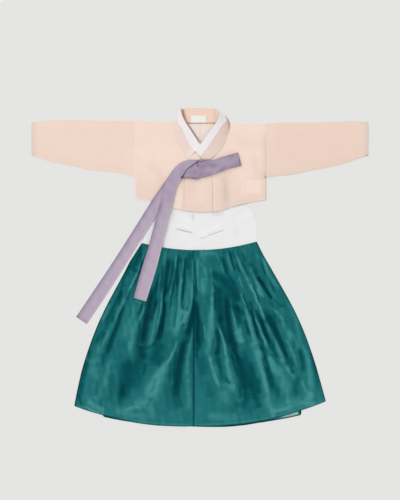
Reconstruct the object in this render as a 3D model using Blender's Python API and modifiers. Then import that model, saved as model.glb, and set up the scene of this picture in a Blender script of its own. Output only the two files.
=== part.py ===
"""A child's Korean hanbok laid flat: jeogori (jacket), goreum (ribbon tie) and chima (bodiced skirt).

The garment lies on the plane z = 0 with its front up.  +X runs from cuff to cuff, towards the
wearer's left, +Y from hem to neck and +Z up.  The origin is the middle of the garment's box, at
floor level.  "left" and "right" in the names are the wearer's.  Tables are in millimetres, and
MM turns them into Blender's metres where a mesh is made.
"""
import math

import bmesh
import bpy
import numpy as np

MM = 0.001

# ---------------------------------------------------------------- cloth and layers
CLOTH = 1.2            # wall of every cloth panel, seam turnings and lining included
WHITE_STRIP = 1.0      # wall of the dongjeong and of the two labels
GAP = 0.4              # clear space between two panels that lie on each other
SEAM = 0.4             # half the clear space between two panels that are sewn edge to edge
LAYER = CLOTH + GAP
AIR = 2.0              # air between the jacket's two layers, away from its closed edges
SHOULDER_ROLL = 24.0   # width below the shoulder fold in which the upper layer comes up from the lower
SIDE_ROLL = 12.0       # the same beside a side seam
COLLAR_CLEAR = 0.8     # clear space under the collar bands, which bend less than the fronts
STRIP_CLEAR = 0.6      # clear space under the white strip
RIBBON_CLEAR = 0.8     # clear space under the ribbon where it crosses the rest

# ---------------------------------------------------------------- whole garment
SHOULDER_Y = 410.0     # shoulder line of the jacket, where back and fronts meet
CUFF_X = 473.0         # centre back to the edge of the cuff
ARMHOLE_X = 185.0      # centre back to the armhole seam
ORIGIN_Y = 1.57        # the middle of the whole box in the tables' own Y
BODICE_TOP = 298.0     # what lies above this Y has no bodice under it
FLOOR_Y = 348.0        # from this Y up, the jacket lies on the floor
SLEEVE_DROP = 30.0     # length of sleeve that comes down from the body's height to the floor

# ---------------------------------------------------------------- chima, the skirt
SKIRT_SIDES = (
    # drop from waist to hem, right side x, left side x
    (0.00, -162.0, 159.0),
    (0.18, -207.0, 206.0),
    (0.40, -262.0, 256.0),
    (0.556, -295.0, 287.0),
    (0.754, -327.0, 319.0),
    (0.90, -340.0, 340.0),
    (1.00, -349.0, 351.0),
)
WAIST_ENDS_Y = (71.0, 76.0)      # right and left end of the waist seam
WAIST_SAG = 22.0                 # how far the middle of the seam lies below its ends
HEM_ENDS_Y = (-384.0, -371.5)
HEM_SAG = 63.0
HEM_POWER = 2.3                  # 2 is a parabola, more is a flatter middle
BACK_HEM = (
    # x, how far the back's hem shows below the fronts' hem (under 0: hidden)
    (-400.0, -2.0),
    (-277.0, -2.0),
    (-268.0, 5.0),
    (-141.0, 3.0),
    (36.0, 5.0),
    (182.0, 6.0),
    (283.0, 12.0),
    (284.0, -2.0),
    (400.0, -2.0),
)
SKIRT_COLUMNS = 28
SKIRT_ROWS = 16
BACK_COLUMNS = 12
BACK_ROWS = 7
BACK_STEPS = (0.115, 0.9029, 0.9043)   # shares of the width where the back's hem turns
OVERLAP_X = -18.0                # edge of the left front, which laps over the right front
UNDERLAP = 24.0                  # how far the right front runs on below the left front
LAP_SLOPE = (4.0, 16.0)          # distances from the lap between which a front changes height
FLARE_RISE = 7.0                 # height of the fronts' middle over the back, between the folds
SIDE_POWER = 6.0                 # how close to the sides the fronts keep that height
FOLDS = (
    # top x, y, middle x, y, foot x, y, half width at top, at foot, rise (under 0: a trough)
    (-148, 34, -210, -81, -283, -235, 8, 12, 4),
    (-185, -67, -230, -165, -280, -280, 8, 12, -4),
    (-168, -90, -213, -174, -258, -328, 14, 20, 5),
    (-132, -60, -157, -174, -160, -252, 11, 15, -5),
    (-112, -40, -126, -146, -146, -235, 9, 12, 4),
    (-90, 28, -101, -90, -123, -218, 8, 12, -5),
    (-60, 45, -70, -50, -76, -235, 9, 14, 5),
    (-67, -216, -123, -308, -202, -398, 16, 30, 6),
    (-30, 17, -38, -62, -45, -140, 8, 10, 3),
    (-20, -132, -48, -235, -67, -370, 11, 18, -5),
    (-213, -252, -202, -308, -221, -384, 26, 26, -5),
    (22, 17, 31, -90, 22, -252, 11, 16, 5),
    (39, 28, 52, -62, 53, -140, 9, 12, -5),
    (73, -76, 84, -188, 140, -364, 13, 24, -6),
    (50, -154, 70, -230, 90, -339, 9, 12, 4),
    (81, -20, 95, -132, 115, -216, 9, 13, 4),
    (109, -30, 146, -174, 190, -364, 9, 14, 5),
    (101, 39, 162, -112, 241, -280, 9, 12, 5),
    (176, -104, 213, -196, 258, -291, 13, 13, -5),
    (154, -11, 176, -56, 202, -98, 9, 9, -3),
    (176, 6, 213, -78, 269, -216, 11, 16, 4),
    (283, -224, 286, -286, 269, -358, 13, 17, -4),
)
FOLD_FADE = 0.22                 # share of a fold's length over which it rises and dies away
GATHER_FADE = 26.0               # distance from the waist seam over which the folds open

# ---------------------------------------------------------------- the bodice
BODICE_ROWS = (
    # y, right side x, left side x
    (120.0, -162.0, 160.0),
    (151.0, -152.0, 151.0),
    (174.0, -134.0, 132.0),
    (206.0, -126.0, 126.0),
)
BODICE_COLUMNS = 14
NECK_SCOOP = 20.0                # depth of the bodice's neckline between the straps
STRAP_INNER_X = 86.0
STRAP_OUTER_X = 126.0
STRAP_TOP_Y = 294.0

# ---------------------------------------------------------------- jeogori, the jacket
JACKET_LEVELS = (410.0, 386.0, 367.0, 348.0, 322.0, 298.0, 276.0, 255.0, 232.0, 212.0)
BACK_SHARES = (0.0, 0.167, 0.333, 0.5, 0.645, 0.70, 0.833, 1.0)     # side to centre back
INNER_SHARES = (0.0, 0.065, 0.125, 0.25, 0.375, 0.5, 0.625, 0.75, 0.875, 1.0)
OUTER_SHARES = (0.0, 0.03, 0.167, 0.27, 0.333, 0.5, 0.667, 0.833, 0.92, 1.0)
SEOP_SHARES = (0.0, 0.25, 0.5, 0.75, 1.0)
CENTRE_BACK_X = 1.0
SIDE_SEAMS = (
    # y, right side x, left side x
    (410.0, -185.0, 183.5),
    (255.0, -183.5, 184.0),
    (192.0, -175.0, 185.0),
)
HEM_LINE = (
    # x, y
    (-175.0, 192.0),
    (-134.0, 186.0),
    (-67.0, 166.0),
    (-28.0, 159.5),
    (14.0, 157.0),
    (56.0, 161.0),
    (101.0, 174.0),
    (140.0, 182.0),
    (185.0, 190.0),
)
OUTER_EDGE = (
    # y, x of the outer (left) front's free edge, which the collar covers down to 290
    (410.0, 66.0),
    (384.0, 56.0),
    (356.0, 37.0),
    (333.0, 20.0),
    (314.0, 5.0),
    (300.0, -8.0),
    (290.0, -18.0),
    (276.0, -29.0),
    (158.0, -45.0),
)
INNER_EDGE = (
    # y, x of the inner (right) front's edge
    (410.0, -58.0),
    (372.0, -36.0),
    (344.0, -20.0),
    (311.0, 0.0),
    (290.0, 12.0),
    (255.0, 20.0),
    (157.0, 20.0),
)
SEOP_SEAM_X = 35.0               # seam between the outer front and its seop, the overlap panel
SEOP_TOP_Y = 346.0
LAP_X = (46.0, 90.0)             # between these the outer front comes down to the inner one's level
NECK_LEFT_X = 66.0
NECK_RIGHT_X = -58.0
NECK_DEPTH = 6.0                 # the back's neckline lies this far below the shoulder line
BACK_HEM_LIFT = 3.0              # the back's hem stays hidden this far behind the fronts' hem

# ---------------------------------------------------------------- the sleeves
SLEEVE_ROWS = (
    # distance from centre back, top y, lower y of the right sleeve, of the left sleeve
    (185.0, 410.0, 256.0, 253.0),
    (215.0, 410.0, 264.5, 257.5),
    (261.0, 410.0, 270.0, 262.0),
    (310.0, 409.5, 275.5, 273.0),
    (358.0, 409.0, 286.0, 281.5),
    (414.0, 408.5, 297.0, 296.0),
    (448.0, 408.0, 308.0, 308.0),
    (473.0, 408.0, 315.0, 315.0),
)
SLEEVE_ROLLS = (0.0, 0.16, 0.5, 0.84, 1.0)   # shares of a sleeve's depth at which it has a row
SLEEVE_CROWN = 1.2               # how far the upper layer swells in its middle

# ---------------------------------------------------------------- the collar
COLLAR_LEFT = (
    # neck edge x, y, outer edge x, y, share of the width that the white dongjeong covers
    (56.0, 436.0, 72.0, 424.0, 0.92),
    (52.0, 417.0, 82.0, 410.0, 0.75),
    (45.0, 404.0, 83.0, 392.0, 0.50),
    (30.0, 383.0, 74.0, 366.0, 0.47),
    (14.0, 365.0, 62.0, 338.0, 0.45),
    (0.0, 349.0, 43.0, 315.0, 0.50),
    (-14.0, 331.0, 25.0, 294.0, 0.50),
    (-17.0, 325.0, 19.0, 288.5, 0.50),
    (-22.0, 318.0, 14.0, 282.0, 0.00),
)
COLLAR_RIGHT = (
    (-51.0, 446.0, -60.0, 440.0, 0.92),
    (-46.0, 424.0, -65.0, 414.0, 0.92),
    (-36.0, 403.0, -70.0, 384.0, 0.55),
    (-24.0, 384.0, -64.0, 360.0, 0.52),
    (-12.0, 367.0, -54.0, 340.0, 0.58),
    (-1.5, 351.5, -36.0, 306.0, 0.55),
)
GIT_BACK = (
    # lower x, y, upper x, y
    (-54.0, 404.8, -54.0, 434.0),
    (-47.0, 404.8, -47.0, 444.0),
    (0.0, 404.8, 0.0, 446.5),
    (40.0, 404.8, 40.0, 445.5),
    (52.0, 404.8, 52.0, 440.0),
    (60.0, 404.8, 60.0, 430.0),
)
DONGJEONG_BACK = (
    (-49.0, 430.0, -49.0, 446.0),
    (0.0, 432.0, 0.0, 448.5),
    (42.0, 432.0, 42.0, 447.5),
    (58.0, 424.0, 62.0, 434.0),
)
BACK_COLLAR_Z = 1.7              # underside of the back collar, over the white strip behind it

# ---------------------------------------------------------------- labels, both bare
NECK_LABEL = (-28.0, 25.0, 406.0, 427.0)     # x from, x to, y from, y to
CARE_LABEL = (130.0, 170.0, 209.0, 245.0)

# ---------------------------------------------------------------- goreum, the ribbon tie
RIBBON_WIDTH = 36.0
RIBBON_STEP = 14.0               # distance between two sections of a ribbon
RIBBON_REACH = 12.0              # how far ahead and behind a ribbon feels what it lies on
RIBBON_PROBES = (-0.55, -0.4, -0.2, 0.0, 0.2, 0.4, 0.55)    # shares of its width where it feels it
EDGE_MARGIN = 5.0                # a ribbon clears each edge that it crosses by this much
FOLD_WALL = 1.5                  # a panel's wall measured straight up on the slope of a fold
LONG_TAIL = ((-44.0, 287.0), (-62.0, 262.0), (-90.0, 222.0), (-119.0, 181.0), (-181.0, 80.0),
             (-237.0, -8.0), (-283.0, -78.0), (-328.0, -145.0))
SHORT_TAIL = ((-36.0, 280.0), (-62.0, 250.0), (-83.0, 212.0), (-95.0, 178.0), (-105.0, 137.0),
              (-125.0, 55.0), (-143.0, -2.0), (-168.0, -88.0))
LOOP_ROWS = (
    # x, y of the middle line, width
    (-2.0, 277.5, 52.0),
    (14.0, 279.0, 48.0),
    (42.0, 283.5, 38.0),
    (70.0, 293.5, 35.0),
    (98.0, 301.0, 36.0),
    (109.0, 304.0, 37.0),
)
LOOP_OPENING = 2.4               # air between the two layers of the loop
COLLAR_END_X = (40.0, 58.0)      # between these the loop comes down from the collar to the front
LOOP_PROBE = 12.0                # how far to each side the loop feels what it lies on
TURN = (math.pi / 4, math.pi / 2, 3 * math.pi / 4)      # angles of the points round a turned edge
KNOT_ROWS = (
    # x, lower y, upper y, height
    (-52.0, 251.0, 262.0, 3.0),
    (-46.0, 249.0, 278.0, 7.0),
    (-34.0, 248.0, 293.0, 9.0),
    (-20.0, 248.0, 302.0, 9.0),
    (-2.6, 250.0, 303.0, 7.0),
)
KNOT_POINTS = 6

# ---------------------------------------------------------------- finishes: colour, roughness
TEAL = ((0.012, 0.150, 0.140, 1.0), 0.45)
PEACH = ((0.830, 0.640, 0.540, 1.0), 0.75)
DEEP_PEACH = ((0.740, 0.450, 0.310, 1.0), 0.75)
WHITE = ((0.840, 0.850, 0.840, 1.0), 0.80)
MAUVE = ((0.420, 0.310, 0.420, 1.0), 0.50)
COLLECTION = "korean_hanbok"


def lerp(a, b, t):
    """Straight mix of a and b."""
    return a + (b - a) * t


def column(table, index):
    """One column of a table."""
    return [row[index] for row in table]


def even(count):
    """Shares from 0 to 1 in even steps."""
    return [i / count for i in range(count + 1)]


def smooth_curve(xs, ys, x):
    """Smooth curve through the points (xs, ys), read at x; its ends run on flat."""
    x = min(max(x, min(xs)), max(xs))
    pairs = sorted(zip(xs, ys))
    k = max(i for i in range(len(pairs) - 1) if pairs[i][0] <= x)
    (x0, y0), (x1, y1) = pairs[k], pairs[k + 1]
    before = pairs[max(k - 1, 0)]
    after = pairs[min(k + 2, len(pairs) - 1)]
    slope0 = (y1 - before[1]) / (x1 - before[0])
    slope1 = (after[1] - y0) / (after[0] - x0)
    t = (x - x0) / (x1 - x0)
    span = x1 - x0
    return ((2 * t ** 3 - 3 * t ** 2 + 1) * y0 + (t ** 3 - 2 * t ** 2 + t) * span * slope0
            + (3 * t ** 2 - 2 * t ** 3) * y1 + (t ** 3 - t ** 2) * span * slope1)


def ramp(x, start, end):
    """0 at start, 1 at end, straight between."""
    return min(max((x - start) / (end - start), 0.0), 1.0)


def smooth_step(x, start, end):
    """0 at start, 1 at end, soft at both."""
    t = ramp(x, start, end)
    return t * t * (3.0 - 2.0 * t)


# ================================================================ meshes

def finish_material(name, finish):
    """A Principled material for one piece."""
    colour, roughness = finish
    material = bpy.data.materials.new(name + "_cloth")
    material.use_nodes = True
    shader = material.node_tree.nodes["Principled BSDF"]
    shader.inputs["Base Color"].default_value = colour
    shader.inputs["Roughness"].default_value = roughness
    shader.inputs["Metallic"].default_value = 0.0
    material.diffuse_color = colour
    return material


def add_object(name, mesh, finish):
    """Link a named object with its own material."""
    obj = bpy.data.objects.new(name, mesh)
    mesh.materials.append(finish_material(name, finish))
    bpy.data.collections[COLLECTION].objects.link(obj)
    return obj


def lofted_mesh(name, rows):
    """A surface of four-sided faces through rows of points, given in millimetres."""
    points = np.array(rows, dtype=float)
    points[..., 1] -= ORIGIN_Y
    count_rows, count = points.shape[:2]
    faces = []
    for r in range(count_rows - 1):
        for c in range(count - 1):
            first, below = r * count + c, (r + 1) * count + c
            faces.append((first, below, below + 1, first + 1))
    mesh = bpy.data.meshes.new(name)
    mesh.from_pydata((points.reshape(-1, 3) * MM).tolist(), [], faces)
    mesh.update()
    return mesh


def add_wall(obj, thickness, offset):
    """Give an open surface its thickness: offset 1 builds it up from the surface, 0 both ways."""
    wall = obj.modifiers.new("wall", "SOLIDIFY")
    wall.thickness = thickness * MM
    wall.offset = offset
    wall.use_rim = True


def sheet(name, rows, finish, thickness=CLOTH):
    """A cloth panel: rows of points on its underside, from +Y to -Y, each from -X to +X."""
    obj = add_object(name, lofted_mesh(name, rows), finish)
    add_wall(obj, thickness, 1.0)
    obj.data.shade_smooth()
    return obj


# ================================================================ chima

def waist_y(u):
    """Height of the waist seam at the share u of its width."""
    return lerp(*WAIST_ENDS_Y, u) - WAIST_SAG * (1.0 - abs(2.0 * u - 1.0) ** 2)


def hem_y(u):
    """Height of the fronts' hem at the share u of its width."""
    return lerp(*HEM_ENDS_Y, u) - HEM_SAG * (1.0 - abs(2.0 * u - 1.0) ** HEM_POWER)


def skirt_side(v, side):
    """x of the right (1) or left (2) side at the drop v."""
    return smooth_curve(column(SKIRT_SIDES, 0), column(SKIRT_SIDES, side), v)


def skirt_point(u, v):
    """Place on the spread skirt: u across from the right side, v down from the waist."""
    x = lerp(skirt_side(v, 1), skirt_side(v, 2), u)
    y = lerp(waist_y(u), hem_y(u), v)
    return x, y


def skirt_share(x, y):
    """The shares u and v of a place on the spread skirt."""
    u, v = 0.5, 0.5
    for _ in range(8):
        v = (waist_y(u) - y) / (waist_y(u) - hem_y(u))
        v = min(max(v, 0.0), 1.0)
        right, left = skirt_side(v, 1), skirt_side(v, 2)
        u = min(max((x - right) / (left - right), 0.0), 1.0)
    return u, v


def fold_height(fold, x, y):
    """Height that one row of FOLDS adds at a place."""
    x0, y0, x1, y1, x2, y2, top_width, foot_width, rise = fold
    if not y2 < y < y0:
        return 0.0
    t = (y0 - y) / (y0 - y2)
    line = smooth_curve((y0, y1, y2), (x0, x1, x2), y)
    across = (x - line) / lerp(top_width, foot_width, t)
    along = smooth_step(t, 0.0, FOLD_FADE) * smooth_step(1.0 - t, 0.0, FOLD_FADE)
    return rise * along * math.exp(-across * across)


def skirt_height(x, y):
    """Underside of the spread fronts over the floor."""
    u, v = skirt_share(x, y)
    from_waist = waist_y(u) - y
    spread = (1.0 - abs(2.0 * u - 1.0) ** SIDE_POWER) * smooth_step(from_waist, 0.0, GATHER_FADE)
    folds = sum(fold_height(fold, x, y) for fold in FOLDS)
    return LAYER + max((FLARE_RISE + folds) * spread, 0.0)


def right_front_height(x, y):
    """The right front comes down flat where the left front laps over it."""
    return lerp(LAYER, skirt_height(x, y), ramp(x, OVERLAP_X - LAP_SLOPE[0], OVERLAP_X - LAP_SLOPE[1]))


def left_front_height(x, y):
    """The left front stays clear of the strip that it laps over."""
    end = OVERLAP_X + UNDERLAP
    clear = lerp(2.0 * LAYER + GAP, LAYER, ramp(x, end + LAP_SLOPE[0], end + 3.0 * LAP_SLOPE[1]))
    return max(skirt_height(x, y), clear)


def skirt_front(name, from_x, to_x, height):
    """One front of the skirt, between two lines that are a side or a straight edge."""
    rows = []
    for j in range(SKIRT_ROWS + 1):
        v = j / SKIRT_ROWS
        start = 0.0 if from_x is None else edge_share(from_x, v)
        end = 1.0 if to_x is None else edge_share(to_x, v)
        row = []
        for share in even(SKIRT_COLUMNS):
            x, y = skirt_point(lerp(start, end, share), v)
            row.append((x, y - (2.0 * SEAM if j == 0 else 0.0), height(x, y)))
        rows.append(row)
    return sheet(name, rows, TEAL)


def edge_share(x, v):
    """The share u at which a line of constant x crosses the drop v."""
    right, left = skirt_side(v, 1), skirt_side(v, 2)
    return (x - right) / (left - right)


def skirt_back():
    """The back lies flat on the floor, and its hem shows below the fronts' hem."""
    shares = sorted(even(BACK_COLUMNS) + list(BACK_STEPS))
    rows = []
    for j in range(BACK_ROWS + 1):
        v = j / BACK_ROWS
        row = []
        for u in shares:
            x, y = skirt_point(u, v)
            if j == 0:
                y -= 2.0 * SEAM
            if j == BACK_ROWS:
                y -= np.interp(x, column(BACK_HEM, 0), column(BACK_HEM, 1))
            row.append((x, y, 0.0))
        rows.append(row)
    return sheet("skirt_back", rows, TEAL)


# ================================================================ bodice

def bodice_panel(name, z):
    """The white bodice, front or back: waist seam, sides, armholes and neckline."""
    rows = []
    shares = even(BODICE_COLUMNS)
    for y, right, left in reversed(BODICE_ROWS):
        depth = 0.0 if rows else NECK_SCOOP
        row = []
        for u in shares:
            x = lerp(right, left, u)
            row.append((x, y - depth * max(0.0, 1.0 - (x / STRAP_INNER_X) ** 2), z))
        rows.append(row)
    rows.append([(lerp(*BODICE_ROWS[0][1:], u), waist_y(u), z) for u in shares])
    return sheet(name, rows, WHITE)


def bodice_strap(name, side):
    """A shoulder strap, folded over at the shoulder, its two ends on the bodice's top edge."""
    bottom = BODICE_ROWS[-1][0] + 2.0 * SEAM
    mid = 0.5 * (STRAP_INNER_X + STRAP_OUTER_X) * side
    half = 0.5 * (STRAP_OUTER_X - STRAP_INNER_X)
    radius = 0.5 * LAYER
    low, turn = 0.5 * CLOTH, STRAP_TOP_Y - radius
    path = [(bottom, low), (lerp(bottom, turn, 0.5), low), (turn, low)]
    path += [(turn + radius * math.sin(a), low + radius - radius * math.cos(a))
             for a in TURN]
    path += [(turn, low + LAYER), (lerp(bottom, turn, 0.5), low + LAYER), (bottom, low + LAYER)]
    rows = [[(mid + half, y, z), (mid, y, z), (mid - half, y, z)] for y, z in path]
    obj = add_object(name, lofted_mesh(name, rows), WHITE)
    add_wall(obj, CLOTH, 0.0)
    return obj


# ================================================================ jeogori

def jacket_base(x, y):
    """What the jacket lies on: the bodice, and the floor above and outside it."""
    over_bodice = 1.0 - ramp(y, BODICE_TOP, FLOOR_Y)
    beside = 1.0 - ramp(abs(x), ARMHOLE_X, ARMHOLE_X + SLEEVE_DROP)
    return 2.0 * LAYER * over_bodice * beside


def jacket_air(x, y):
    """Air between the two layers: least at the shoulder fold and the side seams."""
    from_shoulder = (SHOULDER_Y - y) / SHOULDER_ROLL
    from_side = (ARMHOLE_X - abs(x)) / SIDE_ROLL + ramp(y, 255.0, 276.0)
    return GAP + (AIR - GAP) * min(max(min(from_shoulder, from_side), 0.0), 1.0)


def inner_front_height(x, y):
    """Underside of the inner front."""
    return jacket_base(x, y) + CLOTH + jacket_air(x, y)


def outer_front_height(x, y):
    """Underside of the outer front: a layer above the inner front, then down to its level."""
    return inner_front_height(x, y) + LAYER * (1.0 - ramp(x, *LAP_X))


def side_x(y, side):
    """x of the right (1) or left (2) armhole and side seam."""
    return float(np.interp(-y, [-v for v in column(SIDE_SEAMS, 0)], column(SIDE_SEAMS, side)))


def jacket_hem_y(x):
    """The jacket's curved hem."""
    return smooth_curve(column(HEM_LINE, 0), column(HEM_LINE, 1), x)


def edge_x(table, y):
    """x of a front's free edge."""
    return smooth_curve(column(table, 0), column(table, 1), y)


def jacket_panel(name, levels, right_x, left_x, columns, height, top_y=None, hem_lift=0.0):
    """A body panel of the jacket between two edges given as functions of y."""
    rows = []
    for y in levels:
        xs = [lerp(right_x(y), left_x(y), u) for u in columns]
        rows.append([(x, top_y(x) if top_y and y == levels[0] else y, height(x, y)) for x in xs])
    hem = []
    for u in columns:
        x = lerp(right_x(HEM_LINE[2][1]), left_x(HEM_LINE[2][1]), u)
        y = jacket_hem_y(x) + hem_lift
        x = lerp(right_x(y), left_x(y), u)
        hem.append((x, y, height(x, y)))
    rows.append(hem)
    return sheet(name, rows, PEACH)


def back_neck_y(x):
    """Top edge of the back: the shoulder line, cut down for the neck."""
    inside = min(ramp(x, NECK_RIGHT_X - 4.0, NECK_RIGHT_X + 4.0), ramp(x, NECK_LEFT_X, NECK_LEFT_X - 8.0))
    return SHOULDER_Y - NECK_DEPTH * inside


def jacket_backs():
    """The two halves of the back, which meet at the centre back seam."""
    jacket_panel("jacket_back_right", JACKET_LEVELS, lambda y: side_x(y, 1),
                 lambda y: CENTRE_BACK_X - SEAM, BACK_SHARES, jacket_base, back_neck_y, BACK_HEM_LIFT)
    jacket_panel("jacket_back_left", JACKET_LEVELS, lambda y: CENTRE_BACK_X + SEAM,
                 lambda y: side_x(y, 2), [1.0 - u for u in reversed(BACK_SHARES)], jacket_base,
                 back_neck_y, BACK_HEM_LIFT)


def jacket_fronts():
    """The inner front, the outer front and the seop that is sewn to the outer front."""
    jacket_panel("jacket_front_right", JACKET_LEVELS, lambda y: side_x(y, 1),
                 lambda y: edge_x(INNER_EDGE, y), INNER_SHARES, inner_front_height)
    jacket_panel("jacket_front_left", JACKET_LEVELS,
                 lambda y: max(edge_x(OUTER_EDGE, y), SEOP_SEAM_X + SEAM),
                 lambda y: side_x(y, 2), OUTER_SHARES, outer_front_height)
    levels = (SEOP_TOP_Y,) + tuple(y for y in JACKET_LEVELS if y < SEOP_TOP_Y)
    jacket_panel("seop_left", levels, lambda y: edge_x(OUTER_EDGE, y),
                 lambda y: SEOP_SEAM_X - SEAM, SEOP_SHARES, outer_front_height)


def sleeve_layer(name, side, height):
    """One layer of a sleeve, open at the armhole and the cuff, curved along its lower edge."""
    lower = 3 if side > 0 else 2
    stations = SLEEVE_ROWS if side > 0 else tuple(reversed(SLEEVE_ROWS))
    rows = []
    for t in SLEEVE_ROLLS:
        row = []
        for station in stations:
            x, y = side * station[0], lerp(station[1], station[lower], t)
            if station is SLEEVE_ROWS[0]:
                x = side_x(y, lower - 1) + side * 2.0 * SEAM
            row.append((x, y, jacket_base(x, y) + height(station[0], t)))
        rows.append(row)
    return sheet(name, rows, PEACH)


def sleeve_front_height(x, t):
    """Height of a sleeve's upper layer over its lower one: closed along both edges."""
    roll = min(t, 1.0 - t) / SLEEVE_ROLLS[1]
    crown = SLEEVE_CROWN * math.sin(math.pi * t) * ramp(x, ARMHOLE_X, 2.0 * ARMHOLE_X)
    return CLOTH + GAP + (AIR - GAP) * min(roll, 1.0) + crown


def sleeve(name, side):
    """A sleeve: a lower and an upper layer, sewn along the lower edge and folded at the shoulder."""
    sleeve_layer(name + "_under", side, lambda x, t: 0.0)
    sleeve_layer(name + "_upper", side, sleeve_front_height)


# ================================================================ collar and labels

def band(name, table, height, finish, thickness=CLOTH, shares=None):
    """A flat band whose rows run across it.  shares gives the part of each row's width it takes."""
    rows = []
    for k, (x0, y0, x1, y1) in enumerate(table):
        heights = [height(lerp(x0, x1, t), lerp(y0, y1, t)) for t in (0.0, 0.5, 1.0)]
        width = shares[k] if shares else 1.0
        row = []
        for t in (0.0, 0.5 * width, width):
            row.append((lerp(x0, x1, t), lerp(y0, y1, t), float(np.interp(t, (0.0, 0.5, 1.0), heights))))
        rows.append(row)
    mesh = lofted_mesh(name, rows)
    if mesh.polygons[0].normal.z < 0.0:
        mesh.flip_normals()
    obj = add_object(name, mesh, finish)
    add_wall(obj, thickness, 1.0)
    return obj


def collar_side(side, table, front_height):
    """One side of the collar: the git on the front's edge, the white dongjeong on the git."""
    lines = [row[:4] for row in table]
    git = CLOTH + COLLAR_CLEAR
    band("git_" + side, lines, lambda x, y: front_height(x, y) + git, PEACH)
    covered = [row for row in table if row[4] > 0.0]
    strip = git + CLOTH + STRIP_CLEAR
    band("dongjeong_" + side, [row[:4] for row in covered], lambda x, y: front_height(x, y) + strip,
         WHITE, WHITE_STRIP, column(covered, 4))


def collar():
    """The git, a band all round the neck, with the white dongjeong on its neck edge."""
    collar_side("left", COLLAR_LEFT, outer_front_height)
    collar_side("right", COLLAR_RIGHT, inner_front_height)
    band("git_back", GIT_BACK, lambda x, y: BACK_COLLAR_Z, DEEP_PEACH)
    band("dongjeong_back", DONGJEONG_BACK, lambda x, y: 0.0, WHITE, WHITE_STRIP)


def label(name, box, z):
    """A bare woven label."""
    x0, x1, y0, y1 = box
    rows = [[(x0, y1, z), (x1, y1, z)], [(x0, y0, z), (x1, y0, z)]]
    return sheet(name, rows, WHITE, WHITE_STRIP)


def labels():
    """The neck label on the inside of the back collar, the care label inside the left side."""
    label("neck_label", NECK_LABEL, BACK_COLLAR_Z + LAYER)
    label("care_label", CARE_LABEL, jacket_base(150.0, 227.0) + CLOTH + 0.6)


# ================================================================ goreum

def top_of_garment(x, y):
    """Upper face of whatever lies under a ribbon at a place, with a margin past each edge."""
    if abs(x) < ARMHOLE_X and y > jacket_hem_y(x) - EDGE_MARGIN:
        on_outer = x > edge_x(OUTER_EDGE, y) - EDGE_MARGIN
        return (outer_front_height if on_outer else inner_front_height)(x, y) + CLOTH
    if y > waist_y(0.5) + EDGE_MARGIN:
        return 2.0 * LAYER if abs(x) < BODICE_ROWS[0][2] + EDGE_MARGIN else 0.0
    if x > skirt_side(ramp(y, WAIST_ENDS_Y[0], HEM_ENDS_Y[0]), 1) - EDGE_MARGIN:
        return skirt_height(x, y) + FOLD_WALL
    return 0.0


def dense_path(points, step):
    """Points at even distances along a smooth line through the given ones."""
    lengths = [0.0]
    for (xa, ya), (xb, yb) in zip(points, points[1:]):
        lengths.append(lengths[-1] + math.hypot(xb - xa, yb - ya))
    count = max(2, round(lengths[-1] / step))
    stations = [lengths[-1] * i / count for i in range(count + 1)]
    return [(smooth_curve(lengths, column(points, 0), s), smooth_curve(lengths, column(points, 1), s))
            for s in stations]


def path_frames(path):
    """Each point of a path with its unit direction."""
    frames = []
    for i, (x, y) in enumerate(path):
        xa, ya = path[max(i - 1, 0)]
        xb, yb = path[min(i + 1, len(path) - 1)]
        length = math.hypot(xb - xa, yb - ya)
        frames.append((x, y, (xb - xa) / length, (yb - ya) / length))
    return frames


def resting_heights(frames, width, floor_of):
    """Heights at which a ribbon lies on what is below it, bridging the hollows."""
    peaks = []
    for x, y, dx, dy in frames:
        best = 0.0
        for along in (-1.0, -0.5, 0.0, 0.5, 1.0):
            for share in RIBBON_PROBES:
                px = x + dx * along * RIBBON_REACH - dy * width * share
                py = y + dy * along * RIBBON_REACH + dx * width * share
                best = max(best, floor_of(px, py))
        peaks.append(best)
    padded = [peaks[0]] + peaks + [peaks[-1]]
    widest = [max(padded[i:i + 3]) for i in range(len(peaks))]
    padded = [widest[0]] + widest + [widest[-1]]
    return [sum(padded[i:i + 3]) / 3.0 for i in range(len(peaks))]


def ribbon_tail(name, points, floor_of):
    """A tail of the tie, laid over the garment."""
    frames = path_frames(dense_path(points, RIBBON_STEP))
    heights = resting_heights(frames, RIBBON_WIDTH, floor_of)
    half = 0.5 * RIBBON_WIDTH
    rows = []
    for (x, y, dx, dy), z in zip(frames, heights):
        rows.append([(x - dy * half * s, y + dx * half * s, z + RIBBON_CLEAR) for s in (1.0, 0.0, -1.0)])
    mesh = lofted_mesh(name, rows)
    if mesh.polygons[0].normal.z < 0.0:
        mesh.flip_normals()
    obj = add_object(name, mesh, MAUVE)
    add_wall(obj, CLOTH, 1.0)
    return frames, heights


def over_tail(frames, heights, floor_of):
    """Upper face of the garment with one tail already laid on it."""
    reach = 0.5 * RIBBON_WIDTH + RIBBON_STEP

    def floor(x, y):
        under = [z for (px, py, _, _), z in zip(frames, heights) if math.hypot(x - px, y - py) < reach]
        return max([floor_of(x, y)] + [z + RIBBON_CLEAR + FOLD_WALL for z in under])
    return floor


def loop_floor(x, y):
    """Upper face of the collar and the outer front under the loop."""
    over_collar = 1.0 - ramp(x, *COLLAR_END_X)
    return outer_front_height(x, y) + CLOTH + (COLLAR_CLEAR + CLOTH) * over_collar


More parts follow.
